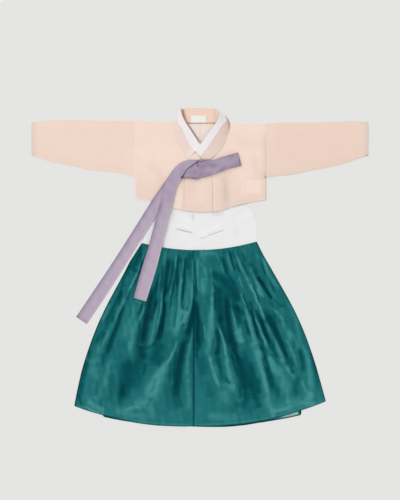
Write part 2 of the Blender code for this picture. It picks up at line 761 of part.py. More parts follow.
def ribbon_loop():
    """The single loop of the bow: a ribbon that runs out from the knot, turns and comes back."""
    layer = CLOTH + LOOP_OPENING
    radius = 0.5 * layer
    xs, ys = column(LOOP_ROWS, 0), column(LOOP_ROWS, 1)
    sections = []
    for x, y, width in LOOP_ROWS:
        before, after = (smooth_curve(xs, ys, x + s * LOOP_PROBE) for s in (-1.0, 1.0))
        angle = math.atan((after - before) / (2.0 * LOOP_PROBE)) if sections else 0.0
        low = max(loop_floor(x + s * LOOP_PROBE, y) for s in (-1.0, 0.0, 1.0))
        low += RIBBON_CLEAR + 0.5 * CLOTH
        sections.append((x, y, width, angle, low))
    x, y, width, angle, low = sections[-1]
    turn = [(x + radius * math.sin(a), y, width, angle, low + radius - radius * math.cos(a))
            for a in TURN]
    back = [(x, y, width, angle, low + layer) for x, y, width, angle, low in reversed(sections)]
    rows = []
    for x, y, width, angle, z in sections + turn + back:
        half = 0.5 * width
        rows.append([(x - half * s * math.sin(angle), y + half * s * math.cos(angle), z)
                     for s in (-1.0, 0.0, 1.0)])
    obj = add_object("goreum_loop", lofted_mesh("goreum_loop", rows), MAUVE)
    add_wall(obj, CLOTH, 0.0)
    return obj


def ribbon_knot(base):
    """The knot: a rounded solid over the root of the loop and the tails."""
    mesh = bpy.data.meshes.new("goreum_knot")
    build = bmesh.new()
    rings = []
    for x, low, high, height in KNOT_ROWS:
        mid, half = 0.5 * (low + high) - ORIGIN_Y, 0.5 * (high - low)
        ring = []
        for i in range(2 * KNOT_POINTS):
            a = math.pi * i / KNOT_POINTS
            crown = 0.5 * (1.0 + math.sin(a)) ** 0.8
            ring.append(build.verts.new((x * MM, (mid + half * math.cos(a)) * MM,
                                         (base + height * crown) * MM)))
        rings.append(ring)
    for ring, following in zip(rings, rings[1:]):
        for i in range(len(ring)):
            k = (i + 1) % len(ring)
            build.faces.new((ring[i], ring[k], following[k], following[i]))
    build.faces.new(rings[0])
    build.faces.new(rings[-1])
    bmesh.ops.recalc_face_normals(build, faces=build.faces)
    build.to_mesh(mesh)
    build.free()
    return add_object("goreum_knot", mesh, MAUVE)


def goreum():
    """The tie: two tails, one over the other, a loop and the knot."""
    frames, heights = ribbon_tail("goreum_tail_long", LONG_TAIL, top_of_garment)
    floor = over_tail(frames, heights, top_of_garment)
    _, upper = ribbon_tail("goreum_tail_short", SHORT_TAIL, floor)
    ribbon_loop()
    ribbon_knot(upper[0] + RIBBON_CLEAR + LAYER)


# ================================================================ whole garment

def clear_scene():
    """Start from nothing, with one collection for the garment."""
    for obj in list(bpy.data.objects):
        bpy.data.objects.remove(obj, do_unlink=True)
    collection = bpy.data.collections.new(COLLECTION)
    bpy.context.scene.collection.children.link(collection)


def build_garment():
    """Make every piece, from the floor up."""
    clear_scene()
    skirt_back()
    skirt_front("skirt_front_right", None, OVERLAP_X + UNDERLAP, right_front_height)
    skirt_front("skirt_front_left", OVERLAP_X, None, left_front_height)
    bodice_panel("bodice_back", 0.0)
    bodice_panel("bodice_front", LAYER)
    bodice_strap("bodice_strap_right", -1.0)
    bodice_strap("bodice_strap_left", 1.0)
    jacket_backs()
    jacket_fronts()
    sleeve("sleeve_right", -1.0)
    sleeve("sleeve_left", 1.0)
    collar()
    labels()
    goreum()


build_garment()
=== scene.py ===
"""Looks of a child's Korean hanbok laid flat: jeogori (jacket), goreum (tie) and chima (skirt).

Sizes are in millimetres on the cutting table: X from the centre back towards the wearer's left, Y
from the waist towards the neck, Z up from the floor.  to_frame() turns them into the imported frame's
metres.  "left" and "right" are the wearer's.  Every panel is a grid of points on the cloth's
underside that shell() closes into a thin wall with rounded edges.
"""
from __future__ import annotations

import logging
import math
from dataclasses import dataclass, replace
from enum import Enum
from functools import partial
from typing import Callable, Sequence

import bmesh
import bpy
import numpy as np
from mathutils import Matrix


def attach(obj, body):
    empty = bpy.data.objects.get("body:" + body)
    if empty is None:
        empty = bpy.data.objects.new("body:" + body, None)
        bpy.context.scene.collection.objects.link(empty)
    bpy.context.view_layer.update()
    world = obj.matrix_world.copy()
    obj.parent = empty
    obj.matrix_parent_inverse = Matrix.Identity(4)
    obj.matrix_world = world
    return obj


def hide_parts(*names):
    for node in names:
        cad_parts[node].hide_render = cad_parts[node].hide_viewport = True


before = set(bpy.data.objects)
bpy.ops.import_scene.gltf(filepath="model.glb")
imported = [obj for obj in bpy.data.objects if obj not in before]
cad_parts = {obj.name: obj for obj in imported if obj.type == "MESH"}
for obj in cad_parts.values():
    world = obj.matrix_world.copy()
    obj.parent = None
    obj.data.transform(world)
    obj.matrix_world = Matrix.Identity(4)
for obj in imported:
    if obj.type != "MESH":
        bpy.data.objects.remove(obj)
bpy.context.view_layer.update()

log = logging.getLogger("hanbok")

Array = np.ndarray
Table = tuple[tuple[float, ...], ...]
Colour = tuple[int, int, int]
Field = Callable[[Array, Array], Array]
Line = Callable[[Array], Array]
Piece = bpy.types.Object

MM = 0.001
ORIGIN_Y = 1.57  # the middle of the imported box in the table's Y
BODY = "root"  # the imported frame's only body
CLOTH = 1.2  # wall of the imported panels, which spaces the layers
WALL = 1.0  # wall of the cloth as it is shown
THIN_WALL = 0.7  # wall of the white strip, the labels and the ribbon's edge
GAP = 0.4  # clear space between two layers
LAYER = CLOTH + GAP
AIR = 2.0  # air between the jacket's two layers, away from its closed edges
SEWN = 1.05 - CLOTH  # what the air comes down to where two layers are sewn together
ROLL_RADIUS = 0.3  # inner radius of a folded edge
ROUNDNESS = 0.35  # share of the wall by which a cut edge bulges


# ---- small mathematics

def lerp(a: Array, b: Array, t: Array) -> Array:
    """Straight mix of a and b."""
    return a + (b - a) * t


def ramp(x: Array, start: float, end: float) -> Array:
    """0 at start, 1 at end, straight between."""
    return np.clip((np.asarray(x, float) - start) / (end - start), 0.0, 1.0)


def ease(x: Array, start: float, end: float) -> Array:
    """0 at start, 1 at end, soft at both."""
    t = ramp(x, start, end)
    return t * t * (3.0 - 2.0 * t)


def mark(distance: Array, width: Array | float, power: float = 2.0) -> Array:
    """1 on a line, falling to nothing a width or two away from it."""
    return np.exp(-np.abs(np.asarray(distance, float) / width) ** power)


def column(table: Sequence[Sequence[float]], index: int) -> Array:
    """One column of a table."""
    return np.array([row[index] for row in table], float)


def curve_at(xs: Sequence[float], ys: Sequence[float], x: Array) -> Array:
    """Read a smooth curve whose ends run on flat.

    Args:
        xs: where the curve is given, in rising or falling order.
        ys: its values there.
        x: where to read it.

    Returns:
        The curve's values at x.
    """
    order = np.argsort(xs)
    px, py = np.asarray(xs, float)[order], np.asarray(ys, float)[order]
    slope = np.gradient(py, px) if len(px) < 3 else np.empty_like(px)
    if len(px) > 2:
        slope[1:-1] = (py[2:] - py[:-2]) / (px[2:] - px[:-2])
        slope[0] = (py[1] - py[0]) / (px[1] - px[0])
        slope[-1] = (py[-1] - py[-2]) / (px[-1] - px[-2])
    x = np.clip(np.asarray(x, float), px[0], px[-1])
    k = np.clip(np.searchsorted(px, x, side="right") - 1, 0, len(px) - 2)
    span = px[k + 1] - px[k]
    t = (x - px[k]) / span
    return ((2 * t ** 3 - 3 * t ** 2 + 1) * py[k] + (t ** 3 - 2 * t ** 2 + t) * span * slope[k]
            + (3 * t ** 2 - 2 * t ** 3) * py[k + 1] + (t ** 3 - t ** 2) * span * slope[k + 1])


def read(table: Sequence[Sequence[float]], index: int, at: Array) -> Array:
    """A column of a table as a smooth curve over the first one."""
    return curve_at(column(table, 0), column(table, index), at)


def edge_lines(distance: Array, rows: Sequence[Sequence[float]]) -> Array:
    """Lines beside an edge, from rows of their tone, their distance from it and their half width."""
    return sum(tone * mark(distance - place, width) for tone, place, width in rows)


def rounded(distance: Array, radius: float) -> Array:
    """0 at an edge and 1 from a radius on, round between."""
    return np.sqrt(np.clip(1.0 - (1.0 - ramp(distance, 0.0, radius)) ** 2, 0.0, 1.0))


def bridged(heights: Array, ahead: int, smooth: int) -> Array:
    """Heights at which a ribbon lies over given ones: highest within some, mean over others."""
    highest = np.array([heights[max(i - ahead, 0):i + ahead + 1].max() for i in range(len(heights))])
    window = 2 * smooth + 1
    return np.convolve(np.pad(highest, smooth, mode="edge"), np.ones(window) / window, mode="valid")


def ripple(x: Array, y: Array, seed: int, wave_x: float, wave_y: float, count: int = 7) -> Array:
    """Smooth uneven waves from about -1 to 1, of the given mean wavelengths."""
    draw = np.random.default_rng(seed)
    total = np.zeros_like(np.asarray(x, float) + np.asarray(y, float))
    for _ in range(count):
        fx, fy, phase = draw.uniform(-1.6, 1.6), draw.uniform(-1.6, 1.6), draw.uniform(0.0, math.tau)
        total += np.sin(math.tau * (fx * x / wave_x + fy * y / wave_y) + phase)
    return total / math.sqrt(count)


def run_length(*coordinates: Array) -> Array:
    """Length along a line of places, from 0 at its start."""
    steps = np.sqrt(sum(np.diff(values) ** 2 for values in coordinates))
    return np.concatenate([[0.0], np.cumsum(steps)])


def stack(*values: Array | float) -> Array:
    """Coordinates, each spread over the whole grid, as one array of places."""
    return np.stack(np.broadcast_arrays(*values), axis=-1)


def nearest_on_path(x: Array, y: Array, xs: Sequence[float], ys: Sequence[float],
                    steps: int = 12) -> tuple[Array, Array]:
    """Measure places against a smooth line through three given ones.

    Args:
        x, y: the places.
        xs, ys: start, middle and end of the line.
        steps: straight pieces that the line is measured by.

    Returns:
        The share along the line (0 to 1) and the distance from it, positive on the line's left.
    """
    shares, knots = np.linspace(0.0, 1.0, steps + 1), (0.0, 0.5, 1.0)
    px, py = curve_at(knots, xs, shares), curve_at(knots, ys, shares)
    nearest = np.full(x.shape, np.inf)
    along, across = np.zeros(x.shape), np.zeros(x.shape)
    for k in range(steps):
        dx, dy = px[k + 1] - px[k], py[k + 1] - py[k]
        t = np.clip(((x - px[k]) * dx + (y - py[k]) * dy) / (dx * dx + dy * dy), 0.0, 1.0)
        ex, ey = x - (px[k] + t * dx), y - (py[k] + t * dy)
        distance = np.hypot(ex, ey)
        closer = distance < nearest
        nearest[closer] = distance[closer]
        along[closer] = ((k + t) / steps)[closer]
        across[closer] = (distance * np.sign(dx * ey - dy * ex))[closer]
    return along, across


@dataclass(frozen=True)
class Creases:
    """Creases, each a soft ridge or trough along a line.

    Columns of rows: x, y at its start, middle and end; half width at its start and end; rise
    (under 0: a trough); tone, painted highlight (above 0) or painted shade along it, so that a
    ridge looks lit and a trough shaded; and, only where it isn't 0, lean (above 0: steep on the
    line's left, which is +X on a line that runs down).  Places are in squares that are `square`
    millimetres wide, widths and rises in millimetres.
    """

    rows: Table
    square: float = 1.0  # side of a square of the places, mm
    power: float = 2.0  # above 2: flat inside and crisp at the sides
    wander: float = 0.0  # how far the lines stray, mm
    fade: float = 0.22
    lean_share: float = 0.6
    reach: float = 3.0

    def read(self, x: Array, y: Array) -> tuple[Array, Array]:
        """Add up the creases at places.

        Args:
            x, y: the places.

        Returns:
            The height, and the tone of painted shade and highlight, that the creases add there.
        """
        height, tone = np.zeros(x.shape), np.zeros(x.shape)
        stray = self.wander * ripple(x, y, 7, 70, 50), self.wander * ripple(x, y, 8, 70, 50)
        x, y = (x + stray[0]) / self.square, (y + stray[1]) / self.square
        for x0, y0, x1, y1, x2, y2, start, end, rise, shade, *leans in self.rows:
            lean = sum(leans)
            reach = self.reach * max(start, end) * (1.0 + self.lean_share * abs(lean)) / self.square
            near = ((x > min(x0, x1, x2) - reach) & (x < max(x0, x1, x2) + reach)
                    & (y > min(y0, y1, y2) - reach) & (y < max(y0, y1, y2) + reach))
            if not near.any():
                continue
            along, across = nearest_on_path(x[near], y[near], (x0, x1, x2), (y0, y1, y2))
            width = lerp(start, end, along) * (1.0 - self.lean_share * lean * np.sign(across))
            strength = mark(across * self.square, width, self.power) * ease(along, 0.0, self.fade) \
                * ease(1.0 - along, 0.0, self.fade)
            height[near] += rise * strength
            tone[near] += shade * strength
        return height, tone


# ---- cloth shells

def to_frame(points: Array) -> Array:
    """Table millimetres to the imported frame's metres."""
    moved = np.array(points, float)
    moved[..., 1] -= ORIGIN_Y
    return moved * MM


def grid_normals(points: Array, wrap: bool) -> Array:
    """Unit normals of a grid of points; wrap says that its columns close on themselves."""
    down = np.gradient(points, axis=0)
    if wrap:
        right = np.roll(points, -1, axis=1) - np.roll(points, 1, axis=1)
    else:
        right = np.gradient(points, axis=1)
    normal = np.cross(down, right)
    return normal / np.maximum(np.linalg.norm(normal, axis=2, keepdims=True), 1e-9)


def in_scene(name: str, data: bpy.types.ID) -> Piece:
    """A new object in the scene."""
    obj = bpy.data.objects.new(name, data)
    bpy.context.scene.collection.objects.link(obj)
    return obj


def mark_cloth(mesh: bpy.types.Mesh, tone: Array, cloth: Array) -> None:
    """Give a mesh the point attributes that the finishes read."""
    mesh.attributes.new("tone", "FLOAT", "POINT").data.foreach_set("value", tone)
    mesh.attributes.new("cloth", "FLOAT_VECTOR", "POINT").data.foreach_set("vector", cloth.ravel())
    mesh.shade_smooth()


def cloth_object(name: str, places: Array, faces: Sequence[Sequence[int]], tone: Array,
                 cloth: Array) -> Piece:
    """A piece out of its points, in table millimetres, and its faces."""
    mesh = bpy.data.meshes.new(name + "_cloth")
    mesh.from_pydata(to_frame(places).tolist(), [], faces)
    mark_cloth(mesh, tone, cloth)
    mesh.update()
    return in_scene(name + "_cloth", mesh)


def face_up(points: Array, tone: Array, cloth: Array) -> tuple[Array, Array, Array]:
    """Turn the columns round where the grid would face down."""
    if grid_normals(points, False)[..., 2].mean() < 0.0:
        return points[:, ::-1], tone[:, ::-1], cloth[:, ::-1]
    return points, tone, cloth


def rim_loops(rows: int, columns: int, wrap: bool) -> list[list[tuple[int, int, int, int]]]:
    """The borders of a grid, each place with the step that leads out of the cloth."""
    if wrap:
        return [[(0, c, -1, 0) for c in range(columns)],
                [(rows - 1, c, 1, 0) for c in range(columns - 1, -1, -1)]]
    loop = [(0, c, -1, 0) for c in range(columns)]
    loop += [(r, columns - 1, 0, 1) for r in range(1, rows)]
    loop += [(rows - 1, c, 1, 0) for c in range(columns - 2, -1, -1)]
    loop += [(r, 0, 0, -1) for r in range(rows - 2, 0, -1)]
    return [loop]


def shell(name: str, points: Array, wall: float = WALL, tone: Array | float = 0.5,
          cloth: Array | None = None, wrap: bool = False, centred: bool = False,
          flat: bool = False) -> Piece:
    """Close a grid of points into a thin piece of cloth with rounded edges.

    Args:
        name: the piece's name.
        points: rows by columns by 3, in table millimetres, on the cloth's underside.
        wall: thickness in millimetres.
        tone: how light the cloth looks, 0 to 1, at each point, painted shade and highlight included.
        cloth: place of each point in the piece as it was cut, in millimetres; X and Y if not given.
        wrap: the columns close on themselves, as round a sleeve.
        centred: the points lie in the middle of the wall, not on its underside.
        flat: the wall rises straight up from the points.

    Returns:
        The object, at the origin, with the point attributes "tone" and "cloth".
    """
    points = np.asarray(points, float)
    rows, columns = points.shape[:2]
    normal = np.array([0.0, 0.0, 1.0]) + 0.0 * points if flat else grid_normals(points, wrap)
    low = points - normal * (0.5 * wall if centred else 0.0)
    high = low + normal * wall
    tone = np.broadcast_to(np.asarray(tone, float), (rows, columns))
    cloth = points[..., :2] if cloth is None else np.asarray(cloth, float)
    count = rows * columns
    index = np.arange(count).reshape(rows, columns)
    following = np.roll(index, -1, axis=1) if wrap else index[:, 1:]
    here = index if wrap else index[:, :-1]
    top = np.stack([here[:-1], here[1:], following[1:], following[:-1]], axis=-1).reshape(-1, 4)
    faces = [top + count, top[:, ::-1]]
    places, tones, cuts = [low.reshape(-1, 3), high.reshape(-1, 3)], [tone.ravel()] * 2, \
        [cloth.reshape(-1, 2)] * 2
    start = 2 * count
    for loop in rim_loops(rows, columns, wrap):
        where = np.array([(r, c) for r, c, _, _ in loop])
        inner = np.array([(r - dr, c - dc) for r, c, dr, dc in loop])
        r, c = where[:, 0], where[:, 1]
        middle = 0.5 * (low[r, c] + high[r, c])
        outward = middle - 0.5 * (low[inner[:, 0], inner[:, 1]] + high[inner[:, 0], inner[:, 1]])
        outward /= np.maximum(np.linalg.norm(outward, axis=1, keepdims=True), 1e-9)
        places.append(middle + outward * wall * ROUNDNESS)
        tones.append(tone[r, c])
        cuts.append(cloth[r, c])
        rim = np.arange(start, start + len(loop))
        under, over = index[r, c], index[r, c] + count
        faces.append(np.stack([over, np.roll(over, -1), np.roll(rim, -1), rim], axis=-1))
        faces.append(np.stack([rim, np.roll(rim, -1), np.roll(under, -1), under], axis=-1))
        start += len(loop)
    cut = np.concatenate(cuts)
    cut = np.concatenate([cut, np.zeros((len(cut), 1))], axis=1)
    return cloth_object(name, np.concatenate(places), np.concatenate(faces).tolist(),
                        np.concatenate(tones), cut * MM)


def grid(rows: int, columns: int) -> tuple[Array, Array]:
    """Shares across (u) and down (v) of an even grid."""
    u, v = np.meshgrid(np.linspace(0.0, 1.0, columns), np.linspace(0.0, 1.0, rows))
    return u, v


# ---- finishes

class Slot(Enum):
    """The record's material slots."""

    SKIRT = "skirt_satin"
    BODICE = "bodice_cotton"
    JACKET = "jacket_gauze"
    COLLAR = "collar_gauze"
    STRIP = "collar_strip"
    LABEL = "label_tape"
    RIBBON = "ribbon_silk"


class Held(Enum):
    """How a sheet of cloth is held."""

    LAID = "laid"
    FOLDED = "folded"
    GATHERED = "gathered"


def linear(colour: Colour) -> tuple[float, float, float, float]:
    """A screen colour, 0 to 255, as a linear one."""
    parts = [c / 255.0 for c in colour]
    parts = [c / 12.92 if c <= 0.04045 else ((c + 0.055) / 1.055) ** 2.4 for c in parts]
    return parts[0], parts[1], parts[2], 1.0


def set_inputs(tree: bpy.types.NodeTree, node: bpy.types.Node,
               inputs: dict[str | int, object]) -> None:
    """Set or link a node's inputs."""
    for key, value in inputs.items():
        if isinstance(value, bpy.types.NodeSocket):
            tree.links.new(value, node.inputs[key])
        else:
            node.inputs[key].default_value = value


def add_node(tree: bpy.types.NodeTree, kind: str, inputs: dict[str | int, object],
             **settings: object) -> bpy.types.Node:
    """Add a node to a tree.

    Args:
        tree: the node tree.
        kind: Blender's name of the node type.
        inputs: a value, or a socket to link from, for each named or numbered input.
        settings: the node's own properties.

    Returns:
        The node.
    """
    made = tree.nodes.new(kind)
    for key, value in settings.items():
        setattr(made, key, value)
    set_inputs(tree, made, inputs)
    return made


class Graph:
    """A material's node tree, built a node at a time."""

    def __init__(self, name: str) -> None:
        """Start a material that holds only its Principled shader."""
        self.material = bpy.data.materials.new(name)
        self.material.use_nodes = True
        self.tree = self.material.node_tree
        self.shader = self.tree.nodes["Principled BSDF"]

    def node(self, kind: str, inputs: dict[str | int, object], **settings: object) -> bpy.types.Node:
        """Add a node, as add_node() does."""
        return add_node(self.tree, kind, inputs, **settings)

    def math(self, operation: str, *values: object) -> bpy.types.NodeSocket:
        """One step of arithmetic."""
        return self.node("ShaderNodeMath", dict(enumerate(values)), operation=operation).outputs[0]


@dataclass(frozen=True)
class Finish:
    """A woven cloth: its colours from deep to light, its threads and its shine."""

    name: str
    slot: Slot
    colours: tuple[Colour, ...]
    roughness: float
    sheen: float = 0.1
    specular: float = 0.3
    gloss: Colour = (255, 255, 255)  # colour of its shine
    thread: float = 0.8  # distance between two threads, mm
    thread_depth: float = 0.05  # mm
    slub: float = 0.1  # how much a thick thread changes the tone
    slub_length: float = 60.0
    slub_width: float = 2.5
    mottle: float = 0.06  # slow uneven change of the tone
    mottle_size: float = 40.0
    pale: Colour | None = None  # single see-through layer, at tone 1.5

    def material(self) -> bpy.types.Material:
        """Build the node tree.

        Returns:
            A material that reads the attributes "tone" and "cloth" of a piece.
        """
        graph = Graph(self.name)
        tone = graph.node("ShaderNodeAttribute", {}, attribute_name="tone").outputs["Fac"]
        cloth = graph.node("ShaderNodeAttribute", {}, attribute_name="cloth").outputs["Vector"]
        per_metre = 1.0 / MM
        stretch = (per_metre / self.slub_length, per_metre / self.slub_width, 1.0)
        laid = graph.node("ShaderNodeMapping", {"Vector": cloth, "Scale": stretch})
        slub = graph.node("ShaderNodeTexNoise", {"Vector": laid.outputs[0], "Scale": 1.0,
                                                 "Detail": 4.0, "Roughness": 0.6}).outputs[0]
        mottle = graph.node("ShaderNodeTexNoise", {"Vector": cloth, "Detail": 3.0,
                                                   "Scale": per_metre / self.mottle_size}).outputs[0]
        even_slub = graph.math("SUBTRACT", slub, 0.5)
        even_mottle = graph.math("SUBTRACT", mottle, 0.5)
        lit = graph.math("MULTIPLY_ADD", even_slub, self.slub, tone)
        lit = graph.math("MULTIPLY_ADD", even_mottle, self.mottle, lit)
        set_inputs(graph.tree, graph.shader, {
            "Base Color": self.colour_ramp(graph, lit), "Metallic": 0.0,
            "Roughness": graph.math("MULTIPLY_ADD", even_slub, 0.25, self.roughness),
            "Sheen Weight": self.sheen, "Sheen Roughness": 0.4,
            "Specular IOR Level": self.specular, "Specular Tint": linear(self.gloss),
            "Normal": self.weave(graph, cloth, slub)})
        return graph.material

    def colour_ramp(self, graph: Graph, lit: bpy.types.NodeSocket) -> bpy.types.NodeSocket:
        """Turn the tone into a colour: deep at 0, light at 1, pale at 1.5."""
        top = 1.5 if self.pale else 1.0
        ramp_node = graph.node("ShaderNodeValToRGB", {0: graph.math("MULTIPLY", lit, 1.0 / top)})
        stops = ramp_node.color_ramp.elements
        last = len(self.colours) - 1
        places = [(k / last / top, c) for k, c in enumerate(self.colours)]
        if self.pale:
            places.append((1.0, self.pale))
        stops[0].position, stops[0].color = places[0][0], linear(places[0][1])
        stops[1].position, stops[1].color = places[-1][0], linear(places[-1][1])
        for place, colour in places[1:-1]:
            stops.new(place).color = linear(colour)
        return ramp_node.outputs[0]

    def weave(self, graph: Graph, cloth: bpy.types.NodeSocket,
              slub: bpy.types.NodeSocket) -> bpy.types.NodeSocket:
        """Threads over and under each other, with the thick ones standing out, as a bump."""
        scale = math.tau / 20.0 / (self.thread * MM)
        waves = [graph.node("ShaderNodeTexWave", {"Vector": cloth, "Scale": scale},
                            bands_direction=way).outputs["Fac"] for way in ("X", "Y")]
        crossed = graph.math("MULTIPLY", *waves)
        raised = graph.math("MULTIPLY_ADD", slub, 1.5, crossed)
        bump = graph.node("ShaderNodeBump", {"Height": raised, "Strength": 0.6,
                                             "Distance": self.thread_depth * MM})
        return bump.outputs[0]


# Tone moves along each ramp: its deep end also gives the painted shade, and its light end the painted
# highlight, that a piece's tone holds.
SATIN = Finish("teal_satin", Slot.SKIRT, ((4, 52, 62), (8, 80, 85), (35, 112, 114), (72, 147, 147)),
               roughness=0.42, sheen=0.0, specular=0.35, gloss=(40, 130, 128), thread=0.7, slub=0.20,
               slub_length=26.0, slub_width=2.4, mottle=0.12, mottle_size=26.0, pale=(214, 222, 220))
COTTON = Finish("white_cotton", Slot.BODICE, ((168, 168, 172), (208, 209, 210), (236, 236, 236),
                (245, 245, 245)), roughness=0.85, sheen=0.05, specular=0.15, thread=0.6, slub=0.04,
                slub_length=12.0, slub_width=1.2, mottle=0.05)
GAUZE = Finish("peach_ramie", Slot.JACKET, ((140, 108, 92), (213, 190, 176), (245, 220, 206),
               (240, 229, 220)), roughness=0.75, sheen=0.05, specular=0.15, thread=0.9,
               thread_depth=0.07, slub=0.10, slub_length=30.0, slub_width=1.4, mottle=0.08,
               mottle_size=30.0)
SLEEVE_GAUZE = replace(GAUZE, name="sleeve_ramie", slub=0.12, mottle=0.10, colours=(
    (150, 120, 104), (222, 207, 197), (237, 211, 196), (246, 223, 209)))
COLLAR_GAUZE = replace(GAUZE, name="collar_ramie", slot=Slot.COLLAR, mottle_size=20.0, colours=(
    (84, 54, 40), (190, 158, 142), (229, 204, 194), (240, 222, 212)))
COLLAR_INSIDE = replace(GAUZE, name="collar_lining", slot=Slot.COLLAR, mottle_size=14.0, colours=(
    (96, 52, 38), (188, 132, 106), (240, 210, 192), (248, 222, 202)))
STRIP = Finish("white_collar_strip", Slot.STRIP, ((140, 136, 142), (204, 200, 203), (236, 232, 232),
               (247, 243, 242)), roughness=0.55, sheen=0.05, specular=0.25, thread=0.5,
               thread_depth=0.03, slub=0.03, slub_length=14.0, slub_width=1.0, mottle=0.04)
TAPE = Finish("label_tape", Slot.LABEL, ((176, 166, 156), (214, 205, 196), (235, 225, 218),
              (245, 240, 236)), roughness=0.6, sheen=0.05, specular=0.2, thread=0.45,
              thread_depth=0.05, slub=0.05, slub_length=8.0, slub_width=0.6, mottle=0.02)
SILK = Finish("mauve_silk", Slot.RIBBON, ((66, 46, 78), (128, 110, 140), (182, 167, 185),
              (208, 196, 209)), roughness=0.5, sheen=0.1, specular=0.25, thread=0.6,
              thread_depth=0.04, slub=0.10, slub_length=24.0, slub_width=1.2, mottle=0.10,
              mottle_size=18.0)


@dataclass(frozen=True)
class Cut:
    """The flat cut of a sheet: width and length in millimetres, and the share of them it fills."""

    width: float
    length: float
    share: float = 1.0
    held: Held = Held.LAID


def dress(obj: Piece, finish: Finish, cut: Cut | None, rests_on: Sequence[str],
          *nodes: str) -> Piece:
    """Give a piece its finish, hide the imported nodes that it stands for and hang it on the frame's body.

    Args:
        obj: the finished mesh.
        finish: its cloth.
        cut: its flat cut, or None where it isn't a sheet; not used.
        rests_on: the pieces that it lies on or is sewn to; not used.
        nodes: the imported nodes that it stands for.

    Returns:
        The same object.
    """
    material = bpy.data.materials.get(finish.name) or finish.material()
    obj.data.materials.clear()
    obj.data.materials.append(material)
    if nodes:
        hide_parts(*nodes)
    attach(obj, BODY)
    return obj
